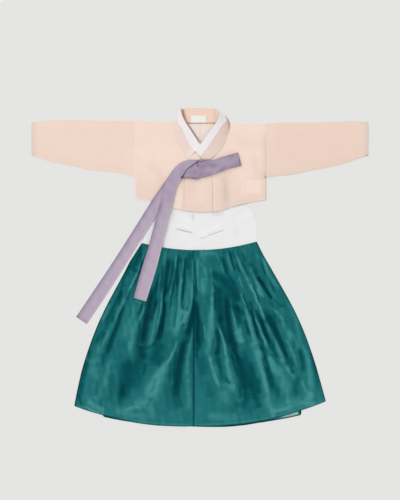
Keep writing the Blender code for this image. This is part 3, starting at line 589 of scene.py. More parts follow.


# ---- chima, the skirt

# Creases of the skirt's fronts; their tone is painted shade in the troughs and painted highlight on the
# ridges.
SKIRT_FOLDS = Creases((
    # right front, from its side to the lap
    (-54, 19, -62, -4, -73, -26, 3, 4, 3, 0.28), (-72, -24, -85, -51, -108, -94, 4, 10, 4, 0.28),
    (-58, 0, -66, -16, -74, -34, 3, 3.5, -3, -0.36), (-74, -33, -83, -58, -96, -94, 4, 8, -5, -0.38),
    (-78, -22, -87, -41, -97, -60, 5, 5, -3, -0.24), (-89, -34, -94, -45, -99, -55, 4, 4, 2, 0.24),
    (-58, 24, -61, 13, -67, -2, 4, 8, -3, -0.35), (-66, -32, -69, -52, -76, -77, 16, 18, 5, 0.22),
    (-70, -72, -70, -81, -69, -89, 10, 9, 2, 0.16), (-57, -34, -59, -41, -63, -49, 3, 3, -2, -0.32),
    (-55.5, -36, -57.5, -46, -62, -54, 2.5, 3, 2, 0.3), (-46, -16, -53, -50, -59, -82, 7, 11, -7, -0.52),
    (-59, -77, -58, -86, -54, -92, 9, 9, -3, -0.25), (-37, -18, -39, -40, -44, -66, 2.5, 3, 3, 0.3),
    (-41, -30, -46, -59, -51, -84, 4, 7, 4, 0.26), (-30, 12, -33, -7, -36, -34, 7, 6, -5, -0.46, 0.2),
    (-35, -30, -37, -52, -45, -79, 4.5, 7, -6, -0.6), (-35, 18, -35, 10, -36, 0, 6, 3, 1.5, 0.18),
    (-23, 17, -25, -3, -32, -36, 2.8, 3, 4, 0.34), (-21, 15, -22.5, -2, -22, -23, 5, 4, -3, -0.32),
    (-16, 15, -19, -14, -22, -50, 3, 3.5, 4, 0.36), (-14, 14, -15.5, -10, -18, -38, 4, 3, -4, -0.34),
    (-18, -35, -17, -40, -16.5, -43, 2, 2, -1.5, -0.3), (-10, 16, -11, 8, -12, -4, 7, 5, -2, -0.18),
    (-6, 14, -7, 0, -7, -16, 2.2, 2.2, 2, 0.3), (-10, -4, -11, -24, -14, -44, 7, 9, 4, 0.24),
    (-8, -32, -12, -46, -21, -58, 3, 5, 4, 0.36), (-27, -34, -27, -50, -30, -67, 8, 12, 4, 0.2),
    (-29, -26, -29, -33, -30, -44, 1.8, 2, -1.5, -0.28), (-5, -28, -8, -50, -14, -70, 5, 8, -7, -0.6),
    (-14, -68, -20, -94, -24, -132, 8, 12, -7, -0.52),
    (-30, -112, -28, -129, -24, -144, 18, 24, -2, -0.16), (-7, -62, -11, -84, -14, -112, 2.5, 7, 3, 0.26),
    (-13, -108, -11, -126, -12, -146, 7, 8, 2, 0.16), (-22, -70, -27, -85, -34, -97, 3, 5, 4, 0.36),
    (-30, -91, -42, -108, -54, -134, 8, 26, 6, 0.34, -0.3),
    (-35, -74, -43, -85, -50, -100, 14, 16, -3, -0.2),
    (-70, -88, -74, -112, -79, -136, 20, 20, -5, -0.34),
    (-88, -104, -88, -122, -92, -136, 9, 9, -2, -0.14),
    (-104, -92, -107, -114, -106, -138, 18, 24, 4, 0.16), (-88, -88, -92, -102, -96, -124, 6, 8, 2, 0.16),
    (-98, -128, -99, -133, -100, -139, 4, 4, -1, -0.16),
    (-108, -77, -115, -107, -121, -135, 4, 8, -2, -0.22),
    (-90, -140, -70, -146, -50, -149, 12, 12, 1, 0.14), (-42, -30, -46, -43, -50, -54, 7, 7, -3, -0.34),
    (-17, -38, -21, -50, -26, -72, 8, 10, 4, 0.34), (-58, -78, -60, -98, -66, -128, 14, 18, -4, -0.22),
    (-62, -50, -66, -66, -71, -86, 7, 9, 3, 0.22), (-84, -48, -94, -62, -108, -80, 9, 9, -3, -0.2),
    (-98, -90, -108, -93, -116, -88, 9, 7, 1, 0.18),
    (-108, -105, -110, -118, -109, -132, 10, 12, -1, -0.14),
    (-96, -143, -105, -138, -114, -132, 8, 8, 1, 0.24),
    (-66, -138, -58, -134, -50, -138, 12, 14, 1, 0.22), (-52, -128, -49, -140, -47, -154, 9, 10, 1, 0.14),
    (-36, -86, -39, -94, -43, -100, 8, 8, -2, -0.16), (-6, 10, -6, -12, -8, -38, 5, 5, 2, 0.22),
    (-11, -60, -12, -68, -13, -78, 7, 6, -2, -0.2), (-26, -122, -21, -130, -20, -142, 12, 10, -1, -0.16),
    (-27, 12, -28, -8, -34, -30, 4, 5, -3, -0.22), (-57, 12, -59, -8, -62, -27, 6, 7, -3, -0.22),
    (-41, -2, -43, -14, -46, -28, 4, 5, -2, -0.2), (-66, -18, -70, -24, -73, -30, 6, 6, 2, 0.2),
    (-66, -32, -61, -34, -58, -36, 5, 5, 1, 0.2), (-13, -100, -11, -108, -12, -116, 7, 6, 1, 0.14),
    (-96, -84, -97, -92, -97, -100, 6, 5, -1, -0.16), (-60, 22, -68, 8, -75, -10, 4, 6, -2, -0.3),
    (-73, 0, -78, -18, -83, -38, 4, 4, -2, -0.22), (-70, -34, -69, -43, -71, -52, 4, 4, -1, -0.2),
    (-42, -10, -44, -26, -45, -42, 4, 5, -2, -0.26), (-33, -18, -35, -26, -38, -35, 4, 4, -1, -0.24),
    (-24, -42, -25, -52, -26, -62, 4, 4, -1, -0.26), (-15, -40, -14, -50, -14, -62, 6, 6, 2, 0.36),
    (-8, -12, -8, -26, -9, -38, 3, 4, 1, 0.2), (-96, -138, -97, -144, -97, -149, 3, 4, 1, 0.25),
    (-76, -142, -66, -139, -56, -141, 6, 6, 1, 0.2), (-67, -76, -55, -80, -41, -74, 6, 6, -2, -0.24),
    (-54, -94, -55, -102, -56, -108, 5, 5, -1, -0.2), (-44, -108, -46, -118, -50, -126, 5, 5, -1, -0.2),
    (-29, -92, -30, -104, -30, -116, 4, 5, -1, -0.2), (-116, -137, -108, -142, -98, -147, 3, 3, 1, 0.3),
    (-59, 17, -58, 6, -58, -5, 4, 4, -1, -0.26), (-71, 3, -66, -2, -60, -3, 6, 6, -1, -0.26),
    (-61, -5, -65, -12, -70, -23, 3, 3, 1, 0.28), (-77, -19, -79, -30, -81, -39, 4, 4, -1, -0.26),
    (-84, -41, -86, -48, -88, -55, 5, 5, -1, -0.28), (-93, -63, -97, -70, -100, -81, 4, 4, -1, -0.26),
    (-37, 6, -38, -12, -40, -27, 3, 4, -1, -0.26), (-25, 3, -26, -14, -29, -33, 3, 4, -1, -0.22),
    (-18, 13, -18, 0, -18, -13, 3, 3, -1, -0.24), (-36, -55, -38, -66, -41, -75, 4, 4, -1, -0.24),
    (-60, -51, -61, -64, -63, -77, 3, 4, -1, -0.22), (-12, -54, -14, -56, -17, -58, 4, 4, -1, -0.3),
    (-24, -81, -26, -98, -27, -115, 4, 5, -1, -0.2), (-48, -129, -51, -134, -54, -139, 6, 6, -1, -0.24),
    (-102, -111, -103, -120, -104, -129, 6, 6, -1, -0.22),
    (-122, -125, -120, -132, -118, -139, 4, 5, -1, -0.24),
    (-35.5, -24, -36, -31, -36.5, -38, 2.5, 3, -1, -0.35),
    (-27, -12, -28, -18, -29, -24, 2.5, 3, -1, -0.22), (-24, 4, -25, -10, -27, -28, 5, 5, -1, -0.14),
    (-23, -10, -23, -20, -24, -32, 2, 2, -1, -0.25), (-74, -112, -78, -126, -80, -140, 7, 9, -1, -0.16),
    # left front, from the lap to its side
    (-5, 12, -4.7, -7, -4, -32, 2, 5, -4, -0.55), (-4, -30, -2.5, -57, -3, -84, 6, 8, -7, -0.58),
    (-1, -47, 2, -67, -1, -84, 5, 7, -2, -0.2), (2, 16, 4, -7, 3, -32, 12, 13, 4, 0.3),
    (10, 6, 12.5, -16, 13, -40, 3, 5, 3, 0.22), (12, -34, 10, -62, 9, -88, 8, 9, 5, 0.32, 0.3),
    (9, -86, 13, -102, 21, -123, 5, 6, 4, 0.34), (0, -87, 2, -97, 3, -110, 12, 12, -2, -0.14),
    (8, -112, 9, -122, 10, -132, 8, 9, -2, -0.14), (19, -14, 20, -37, 22, -58, 12, 12, -5, -0.34),
    (26, -20, 29, -57, 38, -90, 7, 9, -7, -0.5), (36, -86, 43, -104, 49, -130, 10, 20, -7, -0.46),
    (40, -130, 50, -138, 57, -144, 18, 18, -2, -0.18), (16, -57, 18.5, -74, 17, -90, 5, 7, -4, -0.4),
    (18, -88, 20, -102, 24, -117, 7, 6, -3, -0.26), (18, -56, 24, -74, 26, -90, 2.5, 5, 4, 0.42),
    (25, -86, 29, -104, 32, -124, 6, 9, 4, 0.34), (30, -30, 34, -50, 38, -70, 2, 5, 4, 0.28),
    (39, -57, 40, -68, 42, -77, 5, 9, 3, 0.36), (36, -34, 38, -45, 41, -58, 5, 6, -3, -0.26),
    (40, -82, 46, -90, 50, -98, 12, 10, -2, -0.12), (38, -7, 40.5, -14, 44, -22, 3, 3, 2, 0.26),
    (40.5, -23, 43, -31, 47, -40, 2, 2.5, 3, 0.36, 0.4),
    (42.5, -25, 45.5, -33, 49, -41, 1.8, 2, -2, -0.3), (44, -34, 50, -57, 57, -82, 4, 9, 5, 0.38),
    (56, -78, 61, -100, 70, -134, 10, 7, 5, 0.34), (51, -40, 54, -54, 60, -74, 2.5, 4.5, -4, -0.36),
    (60, -72, 66, -96, 78, -131, 5, 12, -5, -0.38), (53, -47, 60, -61, 67, -81, 3, 5, 4, 0.36),
    (55, -35, 62, -56, 73, -83, 6, 6, -6, -0.52), (34, 19, 41, 2, 50, -16, 3, 4, 4, 0.32, 0.3),
    (49, -13, 57, -32, 66, -54, 4, 3.5, 5, 0.42, 0.3), (65, -51, 74, -71, 87, -96, 3.5, 8, 5, 0.36, 0.2),
    (40, 9, 46, -1, 50, -11, 2.2, 2.2, -2, -0.22), (52, -16, 56, -25, 60, -36, 2.4, 2.4, -2.5, -0.26),
    (49, 3, 55, -11, 64, -30, 3, 7, 4, 0.3), (56, -7, 64, -19, 73, -33, 5, 4, -5, -0.56),
    (66, -21, 69, -26, 72.5, -32, 2, 2, -1.5, -0.2), (67, -15, 72, -24, 78, -34, 3, 4, 2, 0.16),
    (62, 6, 63.5, -1, 66, -9, 2, 2.5, -2, -0.3), (69, -13, 72, -19, 75, -25, 2, 2.5, -2, -0.22),
    (61, 14, 68, -4, 80, -24, 4, 6, 3, 0.28), (64, -40, 77, -66, 92, -103, 12, 6, -7, -0.46, 0.3),
    (67, -37, 79, -47, 86, -62, 4, 5, 4, 0.26), (84, -68, 91, -81, 98, -102, 4, 6, 3, 0.24),
    (73, -31, 79, -36, 85, -40, 4, 4, -1.5, -0.14), (98, -77, 103, -94, 103, -106, 5, 8, -3, -0.26),
    (100, -107, 96, -118, 98, -130, 9, 10, -3, -0.26), (101, -75, 108, -92, 112, -130, 4, 9, 3, 0.26),
    (68, -86, 76, -100, 87, -128, 4, 22, 4, 0.26), (71, -84, 75, -91, 79, -97, 5, 4, -1.5, -0.16),
    (109, -77, 115, -102, 119, -128, 4, 6, -2, -0.22), (16, 16, 20, 6, 25, -9, 4, 3.5, 2, 0.24),
    (22, 12, 25, 2, 28, -9, 5, 6, -3, -0.3), (26.5, 18, 29, 7, 33, -7, 3, 5, 3, 0.26),
    (29, 18, 32, 6, 36, -4, 3, 3, -2.5, -0.28), (43, 21, 44, 16, 46, 9, 3, 3, 1.5, 0.18),
    (55, 16, 57, 12, 59, 8, 3, 3, 1.5, 0.18), (48, 6, 54, 0, 58, -8, 8, 6, -2, -0.14),
    (14, -22, 15, -32, 15, -44, 3, 3.5, -2, -0.22), (0, -146, 25, -149, 40, -148, 12, 12, 1, 0.12),
    (70, -142, 90, -137, 105, -132, 14, 14, 1, 0.14), (22, -120, 25, -128, 24, -137, 16, 16, 2, 0.14),
    (8, -6, 20, -10, 30, -18, 12, 14, -3, -0.28), (28, -12, 34, -26, 38, -36, 16, 14, -4, -0.34),
    (19, -46, 24, -62, 32, -84, 8, 9, -4, -0.34), (30, -80, 34, -88, 38, -94, 10, 8, -2, -0.2),
    (50, -32, 51, -38, 52, -46, 6, 6, -2, -0.25), (45, -50, 48, -60, 50, -68, 6, 6, -3, -0.28),
    (58, -60, 60, -69, 63, -76, 6, 6, -2, -0.2), (50, -92, 53, -110, 58, -134, 8, 11, -3, -0.3),
    (40, -126, 50, -128, 58, -128, 9, 9, -1, -0.24), (38, -132, 35, -138, 33, -146, 10, 9, -1, -0.16),
    (52, -72, 56, -82, 64, -92, 10, 12, 3, 0.2), (87, -60, 93, -70, 100, -86, 9, 9, 3, 0.2),
    (54, -36, 59, -43, 66, -54, 5, 5, 3, 0.3), (80, -88, 85, -96, 90, -106, 7, 8, 2, 0.2),
    (112, -122, 108, -131, 102, -138, 12, 12, 1, 0.26), (11, -28, 12, -38, 14, -66, 5, 5, 3, 0.22),
    (-2, 14, -3, -6, -2, -26, 5, 6, 2, 0.26), (30, -34, 37, -41, 46, -48, 9, 9, -2, -0.24),
    (78, -50, 80, -57, 81, -63, 5, 4, -1, -0.08), (92, -68, 94, -75, 95, -82, 4, 4, -1, -0.22),
    (56, -20, 60, -25, 64, -31, 4, 4, 1, 0.26), (56, -38, 58, -45, 62, -54, 3, 3, 1, 0.22),
    (64, -66, 68, -86, 74, -108, 5, 7, 2, 0.28), (4, -56, 5, -64, 5, -72, 3, 3, 1, 0.24),
    (12, -54, 13, -62, 12, -72, 3, 3, 1, 0.22), (-3, -78, -3, -84, -3, -92, 4, 4, -1, -0.28),
    (32, -80, 36, -85, 39, -91, 5, 4, -2, -0.34), (47, -58, 49, -64, 51, -70, 3, 4, -1, -0.2),
    (68, -58, 72, -68, 75, -84, 3, 4, -1, -0.22), (58, -108, 59, -118, 60, -128, 6, 6, -2, -0.24),
    (24, -106, 28, -112, 30, -117, 5, 4, -1, -0.2), (40, -118, 40, -125, 40, -132, 4, 4, -1, -0.2),
    (26, -82, 27, -88, 28, -94, 3, 3, 1, 0.24), (86, -92, 90, -104, 96, -112, 5, 5, 1, 0.24),
    (100, -110, 104, -118, 108, -126, 5, 5, 1, 0.22), (36, 6, 38, 0, 41, -6, 3, 3, -1, -0.3),
    (27, -5, 31, -11, 36, -17, 4, 4, -1, -0.24), (12, -12, 14, -18, 17, -22, 4, 4, -1, -0.24),
    (19, 14, 20, 8, 20, 2, 3, 3, -1, -0.24), (42, 16, 44, 10, 46, 4, 4, 4, -1, -0.18),
    (6, -80, 8, -86, 12, -94, 6, 6, 2, 0.2), (14, -96, 20, -106, 26, -122, 6, 8, 2, 0.16),
    (34, -110, 34, -118, 31, -126, 6, 7, 1, 0.18), (16, -82, 17, -88, 18, -94, 7, 7, -2, -0.16),
    (90, -88, 92, -94, 94, -100, 6, 6, -2, -0.2), (79, -106, 79, -118, 78, -134, 7, 8, -2, -0.2),
    (86, -118, 87, -128, 87, -138, 6, 7, 1, 0.16), (66, -124, 69, -138, 76, -150, 7, 10, 1, 0.2),
    (50, -2, 57, -8, 66, -20, 8, 8, -2, -0.16), (44, -8, 50, -18, 62, -30, 6, 6, 2, 0.16),
    (35, -62, 36, -68, 38, -74, 7, 6, 2, 0.2), (20, 16, 30, 14, 44, 12, 10, 8, -1, -0.12),
    (1, 4, 2, -3, 3, -12, 7, 7, -1, -0.16), (82, -38, 82, -46, 84, -54, 7, 7, 1, 0.14),
    (72, -32, 73, -42, 77, -58, 5, 5, -1, -0.14), (86, -28, 96, -54, 103, -86, 7, 6, 1, 0.2),
    (85, -93, 89, -99, 94, -107, 6, 5, -1, -0.3), (70, -77, 74, -83, 78, -91, 4, 4, -1, -0.26),
    (61, -69, 65, -78, 69, -91, 4, 4, -1, -0.26), (60, -80, 63, -90, 67, -101, 4, 5, 1, 0.24),
    (31, -85, 34, -96, 38, -110, 4, 4, -1, -0.28), (31, -35, 34, -44, 38, -53, 4, 4, -1, -0.26),
    (24, -110, 29, -114, 37, -114, 6, 5, -1, -0.2), (43, -33, 51, -46, 60, -63, 3, 3, -1, -0.24),
    (-3, 15, 8, 15, 18, 14, 9, 8, 1, 0.26), (0, 10, 3, 6, 6, 1, 5, 5, -1, -0.24),
    (55, -127, 58, -134, 60, -141, 7, 7, -1, -0.24), (68, -143, 80, -142, 94, -138, 5, 5, 1, 0.20),
    (78, -54, 86, -64, 94, -76, 9, 11, 1, 0.16), (106, -133, 112, -136, 116, -133, 6, 6, 1, 0.16),
    (46, -128, 45, -135, 44, -142, 6, 6, -1, -0.12),
), square=2.8, power=2.6, wander=0.5)


@dataclass(frozen=True)
class Chima:
    """The gathered skirt: a flat back, and two fronts that lap over each other."""

    sides: Table = (
        # drop from waist to hem, right side x, left side x
        (0.00, -162.5, 158), (0.068, -182.4, 173), (0.117, -196.6, 185.2), (0.18, -211.2, 201.5),
        (0.40, -264.5, 256.8), (0.556, -295.8, 289), (0.754, -326.6, 320.6), (0.90, -342.6, 339.3),
        (1.00, -351.5, 351.5),
    )
    waist_ends: tuple[float, float] = (70.0, 74.5)
    waist_sag: float = 22.0
    hem_ends: tuple[float, float] = (-386.0, -373.0)
    hem_sag: float = 63.0
    hem_power: float = 2.3
    hem_lifts: Table = (
        # share of the width, how far the hem is drawn up there, half width of that
        (0.13, 1.7, 0.09), (0.90, 1.3, 0.06),
    )
    back_hem: Table = (
        # x, how far the back's hem shows below the fronts' hem
        (-400, -2), (-277, -2), (-268, 4.8), (-244, 4), (-195, 1.2), (-120, 1.4), (-67, 0.4), (-30, 0.2),
        (0, 1.8), (73, 5), (129, 5.4), (160, 4.6), (210, 6.6), (283, 13.6), (284, -2), (400, -2),
    )
    back_steps: tuple[float, ...] = (0.115, 0.9029, 0.9043)
    sheer_hem: tuple[float, float, float] = (196.0, 240.0, 283.4)  # x of its single layer
    lap_x: float = -17.0
    underlap: float = 24.0
    lap_rise: float = 30.0
    flare: float = 7.0
    hem_flare: float = 0.65
    side_power: float = 6.0
    gather_fade: float = 26.0
    gathers: tuple[int, int] = (24, 60)
    waist_gap: float = 0.4  # what keeps the pieces clear of the bodice
    base_tone: float = 0.52
    lightest: float = 0.92
    back_tone: float = 0.34
    sheer_tone: float = 1.34
    columns: int = 180
    rows: int = 225
    back_size: tuple[int, int] = (220, 130)
    folds: Creases = SKIRT_FOLDS
    cuts: tuple[Cut, ...] = (
        Cut(720.0, 500.0, 0.78, Held.GATHERED),
        Cut(390.0, 500.0, 0.80, Held.GATHERED),
        Cut(390.0, 500.0, 0.81, Held.GATHERED),
    )

    def waist(self, u: Array) -> Array:
        """Y of the waist seam at the share u of its width."""
        return lerp(*self.waist_ends, u) - self.waist_sag * (1.0 - np.abs(2.0 * u - 1.0) ** 2)

    def hem(self, u: Array) -> Array:
        """Y of the fronts' hem at the share u of its width."""
        sag = self.hem_sag * (1.0 - np.abs(2.0 * u - 1.0) ** self.hem_power)
        y = lerp(*self.hem_ends, u) - sag
        for place, lift, width in self.hem_lifts:
            y = y + lift * mark(u - place, width)
        return y

    def side(self, v: Array, which: int) -> Array:
        """X of the right (1) or left (2) side at the drop v."""
        return read(self.sides, which, v)

    def place(self, u: Array, v: Array) -> tuple[Array, Array]:
        """X and Y at the share u across from the right side and v down from the waist."""
        return lerp(self.side(v, 1), self.side(v, 2), u), lerp(self.waist(u), self.hem(u), v)

    def shares(self, x: Array, y: Array) -> tuple[Array, Array]:
        """The shares u and v of places on the spread skirt."""
        u = np.full(np.shape(x), 0.5)
        v = u
        for _ in range(8):
            v = np.clip((self.waist(u) - y) / (self.waist(u) - self.hem(u)), 0.0, 1.0)
            right, left = self.side(v, 1), self.side(v, 2)
            u = np.clip((x - right) / (left - right), 0.0, 1.0)
        return u, v

    def relief(self, x: Array, y: Array) -> tuple[Array, Array]:
        """The spread fronts.

        Args:
            x, y: places on them.

        Returns:
            Height of the underside over the floor, and the cloth's tone with its painted shade and highlight.
        """
        u, v = self.shares(x, y)
        from_waist, from_hem = self.waist(u) - y, y - self.hem(u)
        from_side = np.minimum(u, 1.0 - u) * (self.side(v, 2) - self.side(v, 1))
        spread = (1.0 - np.abs(2.0 * u - 1.0) ** self.side_power) \
            * ease(from_waist, 0.0, self.gather_fade)
        flare = self.flare * lerp(1.0, self.hem_flare, ease(v, 0.7, 1.0))
        folds, shade = self.folds.read(x, y)
        tucks = self.tucks(u)
        crumple = ripple(x, y, 11, 26, 90) + 0.6 * ripple(x, y, 12, 60, 34)
        height = LAYER + np.maximum((flare + folds + 0.25 * crumple) * spread, 0.0) \
            + 0.7 * (1.0 + tucks) * mark(from_waist - 12, 12) * ramp(from_waist, 0.0, 6)
        height -= (LAYER - CLOTH - SEWN) * mark(from_side, 4)
        # Painted shade in hollows and along the folded sides and hem, more on the lower right side, and
        # painted highlight on ridges; lighter towards the hem and just above it, deeper at the waist seam.
        tone = self.base_tone + shade + 0.12 * ease(v, 0.55, 0.95) + 0.03 * crumple \
            + 0.06 * tucks * mark(from_waist, 26) \
            - lerp(0.50, 0.46, u) * mark(from_side, lerp(2.4, 2, u)) \
            - 0.40 * mark(from_hem, 1.5 + 2.4 * mark(x + 236, 36, 6)) \
            + 0.12 * mark(from_hem - 5, 3) - 0.06 * mark(from_waist, 1.6) \
            - 0.20 * mark(from_side, 9) * ease(v, 0.55, 0.8) * (x < 0.0)
        return height, np.minimum(tone, self.lightest)

    def tucks(self, u: Array) -> Array:
        """The small uneven tucks of the gathered waist, from about -1 to 1."""
        draw = np.random.default_rng(5)
        total = np.zeros_like(u)
        for waves in range(*self.gathers, 6):
            total += np.sin(math.tau * waves * u + draw.uniform(0.0, math.tau)) * draw.uniform(0.3, 1.0)
        return total / 2.0

    def edge_share(self, x: float, v: Array) -> Array:
        """The share u at which a line of constant x crosses the drop v."""
        right, left = self.side(v, 1), self.side(v, 2)
        return (x - right) / (left - right)

    def front(self, name: str, right: float | None, left: float | None, lapped: bool,
              cut: Cut) -> Piece:
        """One front of the skirt.

        Args:
            name: the piece and its node.
            right, left: x of its straight edges, or None where it ends at the side seam.
            lapped: this front lies under the other one at the lap.
            cut: its flat cut.

        Returns:
            The dressed piece.
        """
        share, v = grid(self.rows, self.columns)
        start = 0.0 if right is None else self.edge_share(right, v)
        end = 1.0 if left is None else self.edge_share(left, v)
        x, y = self.place(lerp(start, end, share), v)
        z, tone = self.relief(x, y)
        if lapped:
            z = lerp(LAYER, z, ease(x, self.lap_x - 3, self.lap_x - self.lap_rise))
            # Painted shadow of the other front's folded edge beside the lap.
            tone = tone - 0.45 * mark(x - self.lap_x, 3)
        else:
            low = 2.0 * LAYER + 0.2
            z = np.maximum(lerp(low, z, ease(x, self.lap_x, self.lap_x + self.lap_rise)), LAYER)
            z = np.where(x < self.lap_x + self.underlap + 6.0, np.maximum(z, low), z)
            # Painted shade along its own folded edge at the lap, heavier lower down.
            tone = tone - lerp(0.06, 0.75, ease(y, -20, -100)) * mark(x - self.lap_x, 1.4)
        points = stack(x, y - self.waist_gap * (v == 0.0), z)
        return dress(shell(name, points, tone=tone), SATIN, cut, ["skirt_back"], name)

    def back(self, cut: Cut) -> Piece:
        """The back lies flat, and its hem shows below the fronts' hem."""
        columns, rows = self.back_size
        across = np.sort(np.concatenate([np.linspace(0.0, 1.0, columns), self.back_steps]))
        u, v = np.meshgrid(across, np.linspace(0.0, 1.0, rows))
        x, y = self.place(u, v)
        shows = np.interp(x, column(self.back_hem, 0), column(self.back_hem, 1))
        foot = self.hem(u) - shows
        y = lerp(self.waist(u) - self.waist_gap, foot, v)
        from_waist, from_hem = self.waist(u) - y, y - foot
        start, end, stop = self.sheer_hem
        sheer = ease(x, start, end) * (x < stop + 0.2) + 0.5 * mark(x + 122, 26, 4)
        sheer = sheer * ramp(y - self.hem(u), 3, 0.0)
        # Painted shade of the gathers: long streaks, and the tucks near the waist.
        streaks = ripple(x, y, 21, 30, 700)
        tone = self.back_tone + 0.16 * streaks + 0.12 * self.tucks(u) * mark(from_waist, 40)
        # Where the back shows below the fronts' hem it is painted in their shadow, and deeper along its own
        # hem.
        shaded = lerp(0.04, 0.22, ease(x, -215, -180)) + 0.20 * ease(x, 60, 190)
        tone = lerp(tone, shaded, ramp(y - self.hem(u), 6, 0.0)) \
            - 0.5 * mark(from_hem, 1.6) * (x > 60)
        # The single see-through layer is paler, and darkest along its hem and at its end.
        dark = np.maximum(mark(from_hem, 2.6), mark(x - stop + 2, 5) * (x < stop + 3))
        tone = lerp(lerp(tone, self.sheer_tone, sheer), 0.0, dark * sheer)
        points = stack(x, y, np.zeros_like(x))
        return dress(shell("skirt_back", points, tone=tone, flat=True), SATIN, cut, [], "skirt_back")

    def build(self) -> list[Piece]:
        """Make the back and both fronts."""
        back, inner, outer = self.cuts
        return [self.back(back),
                self.front("skirt_front_right", None, self.lap_x + self.underlap, True, inner),
                self.front("skirt_front_left", self.lap_x, None, False, outer)]


# ---- bodice

@dataclass(frozen=True)
class Bodice:
    """The white cotton bodice that the skirt is gathered on to, with its shoulder straps."""

    outline: Table = (
        # y, right side x, left side x
        (120, -162, 160), (151, -152, 151), (174, -134, 132), (206, -126, 126),
    )
    neck_scoop: float = 20.0
    strap_inner: float = 86.0
    strap_outer: float = 126.0
    strap_top: float = 294.0
    waist_lines: Table = ((-0.08, 0.0, 1.4), (-0.04, 6.0, 1.2))
    side_lines: Table = ((-0.05, 0.0, 1.5),)
    panel_tone: float = 0.68
    strap_tone: float = 0.64
    columns: int = 150
    rows: int = 80
    # Creases of the front; their tone is painted shade in the creases and painted highlight on the swells
    # between.
    creases: Creases = Creases((
        (-74, 112, -44, 104, -16, 98.5, 1.3, 1.4, -0.9, -0.80, 0.4),
        (-68, 121, -42, 115, -12, 106, 6, 7, 1.3, 0.12), (-3, 84, 9, 83, 22, 90, 1.3, 1.2, -0.8, -0.50, -0.4),
        (16, 89, 43, 97.4, 74, 108, 1.3, 1.2, -0.9, -0.62, -0.4), (-8, 90, 20, 100, 66, 119, 6, 7, 1.2, 0.10),
        (-20, 153, -20, 143, -19, 129, 3.4, 3, -0.8, -0.30), (28, 153, 50, 150, 74, 155, 6, 7, -0.6, -0.14),
        (-60, 140, -30, 128, 4, 126, 8, 9, 0.8, 0.08), (96, 156, 100, 120, 104, 84, 6, 8, -0.3, -0.03),
        (-120, 138, -98, 120, -90, 92, 8, 8, -0.5, -0.08),
    ))
    panel_cut: Cut = Cut(326.0, 160.0, 0.82)
    strap_cut: Cut = Cut(42.0, 182.0, 1.0, Held.FOLDED)

    def panel(self, name: str, z: float, chima: Chima, jacket_hem: Line,
              front: bool) -> Piece:
        """The bodice's front or back.

        Args:
            name: the piece and its node.
            z: height of its underside.
            chima: the skirt, whose waist seam is the panel's foot.
            jacket_hem: y of the jacket's hem at x, above which nothing stands proud.
            front: this is the front, which carries the creases.

        Returns:
            The dressed piece.
        """
        u, v = grid(self.rows, self.columns)
        levels = column(self.outline, 0)
        y = lerp(levels[-1], chima.waist(u), v)
        right, left = (np.interp(y, levels, column(self.outline, k)) for k in (1, 2))
        x = lerp(right, left, u)
        y = y - self.neck_scoop * np.maximum(0.0, 1.0 - (x / self.strap_inner) ** 2) * (1.0 - v) ** 3
        folds, shade = self.creases.read(x, y)
        swell = 0.5 * ripple(x, y, 31, 90, 60) + 0.5
        from_waist, from_side = y - chima.waist(u), np.minimum(x - right, left - x)
        shown = ease(jacket_hem(x) - y, 6, 20) * ease(from_waist, 0.0, 12) \
            * ease(from_side, 0.0, 10) * front
        # Painted shade and highlight of the front's creases and swells; deeper lines along the waist and the
        # sides.
        tone = self.panel_tone + (shade + 0.03 * (swell - 0.5)) * front \
            + edge_lines(from_waist, self.waist_lines) + edge_lines(from_side, self.side_lines)
        height = z + np.maximum(folds + 1.1 * swell, 0.0) * shown
        points = stack(x, y, height)
        rests = ["bodice_back"] if front else []
        return dress(shell(name, points, tone=tone), COTTON, self.panel_cut, rests, name)

    def strap(self, name: str, side: float) -> Piece:
        """A shoulder strap, folded over at the shoulder."""
        bottom = self.outline[-1][0] + 0.8
        radius = 0.5 * LAYER
        turn = self.strap_top - radius
        angles = np.linspace(0.0, math.pi, 9)
        run = np.linspace(bottom, turn, 24)[:-1]
        low = 0.5 * CLOTH
        path_y = np.concatenate([run, turn + radius * np.sin(angles), run[::-1]])
        path_z = np.concatenate([np.full(run.shape, low), low + radius - radius * np.cos(angles),
                                 np.full(run.shape, low + LAYER)])
        across = np.linspace(self.strap_outer, self.strap_inner, 12) * side
        x, y = np.meshgrid(across, path_y)
        z = np.repeat(path_z[:, None], len(across), axis=1)
        edge = np.minimum(np.abs(x) - self.strap_inner, self.strap_outer - np.abs(x))
        cloth = stack(x, run_length(path_y, path_z)[:, None])
        points = stack(x, y, z)
        obj = shell(name, points, tone=self.strap_tone - 0.2 * mark(edge - 3, 1.2), cloth=cloth, centred=True)
        return dress(obj, COTTON, self.strap_cut, ["bodice_back"], name)

    def build(self, chima: Chima, jacket_hem: Line) -> list[Piece]:
        """Make both panels and both straps."""
        return [self.panel("bodice_back", 0.0, chima, jacket_hem, False),
                self.panel("bodice_front", LAYER, chima, jacket_hem, True),
                self.strap("bodice_strap_right", -1.0),
                self.strap("bodice_strap_left", 1.0)]


# ---- jeogori, the jacket

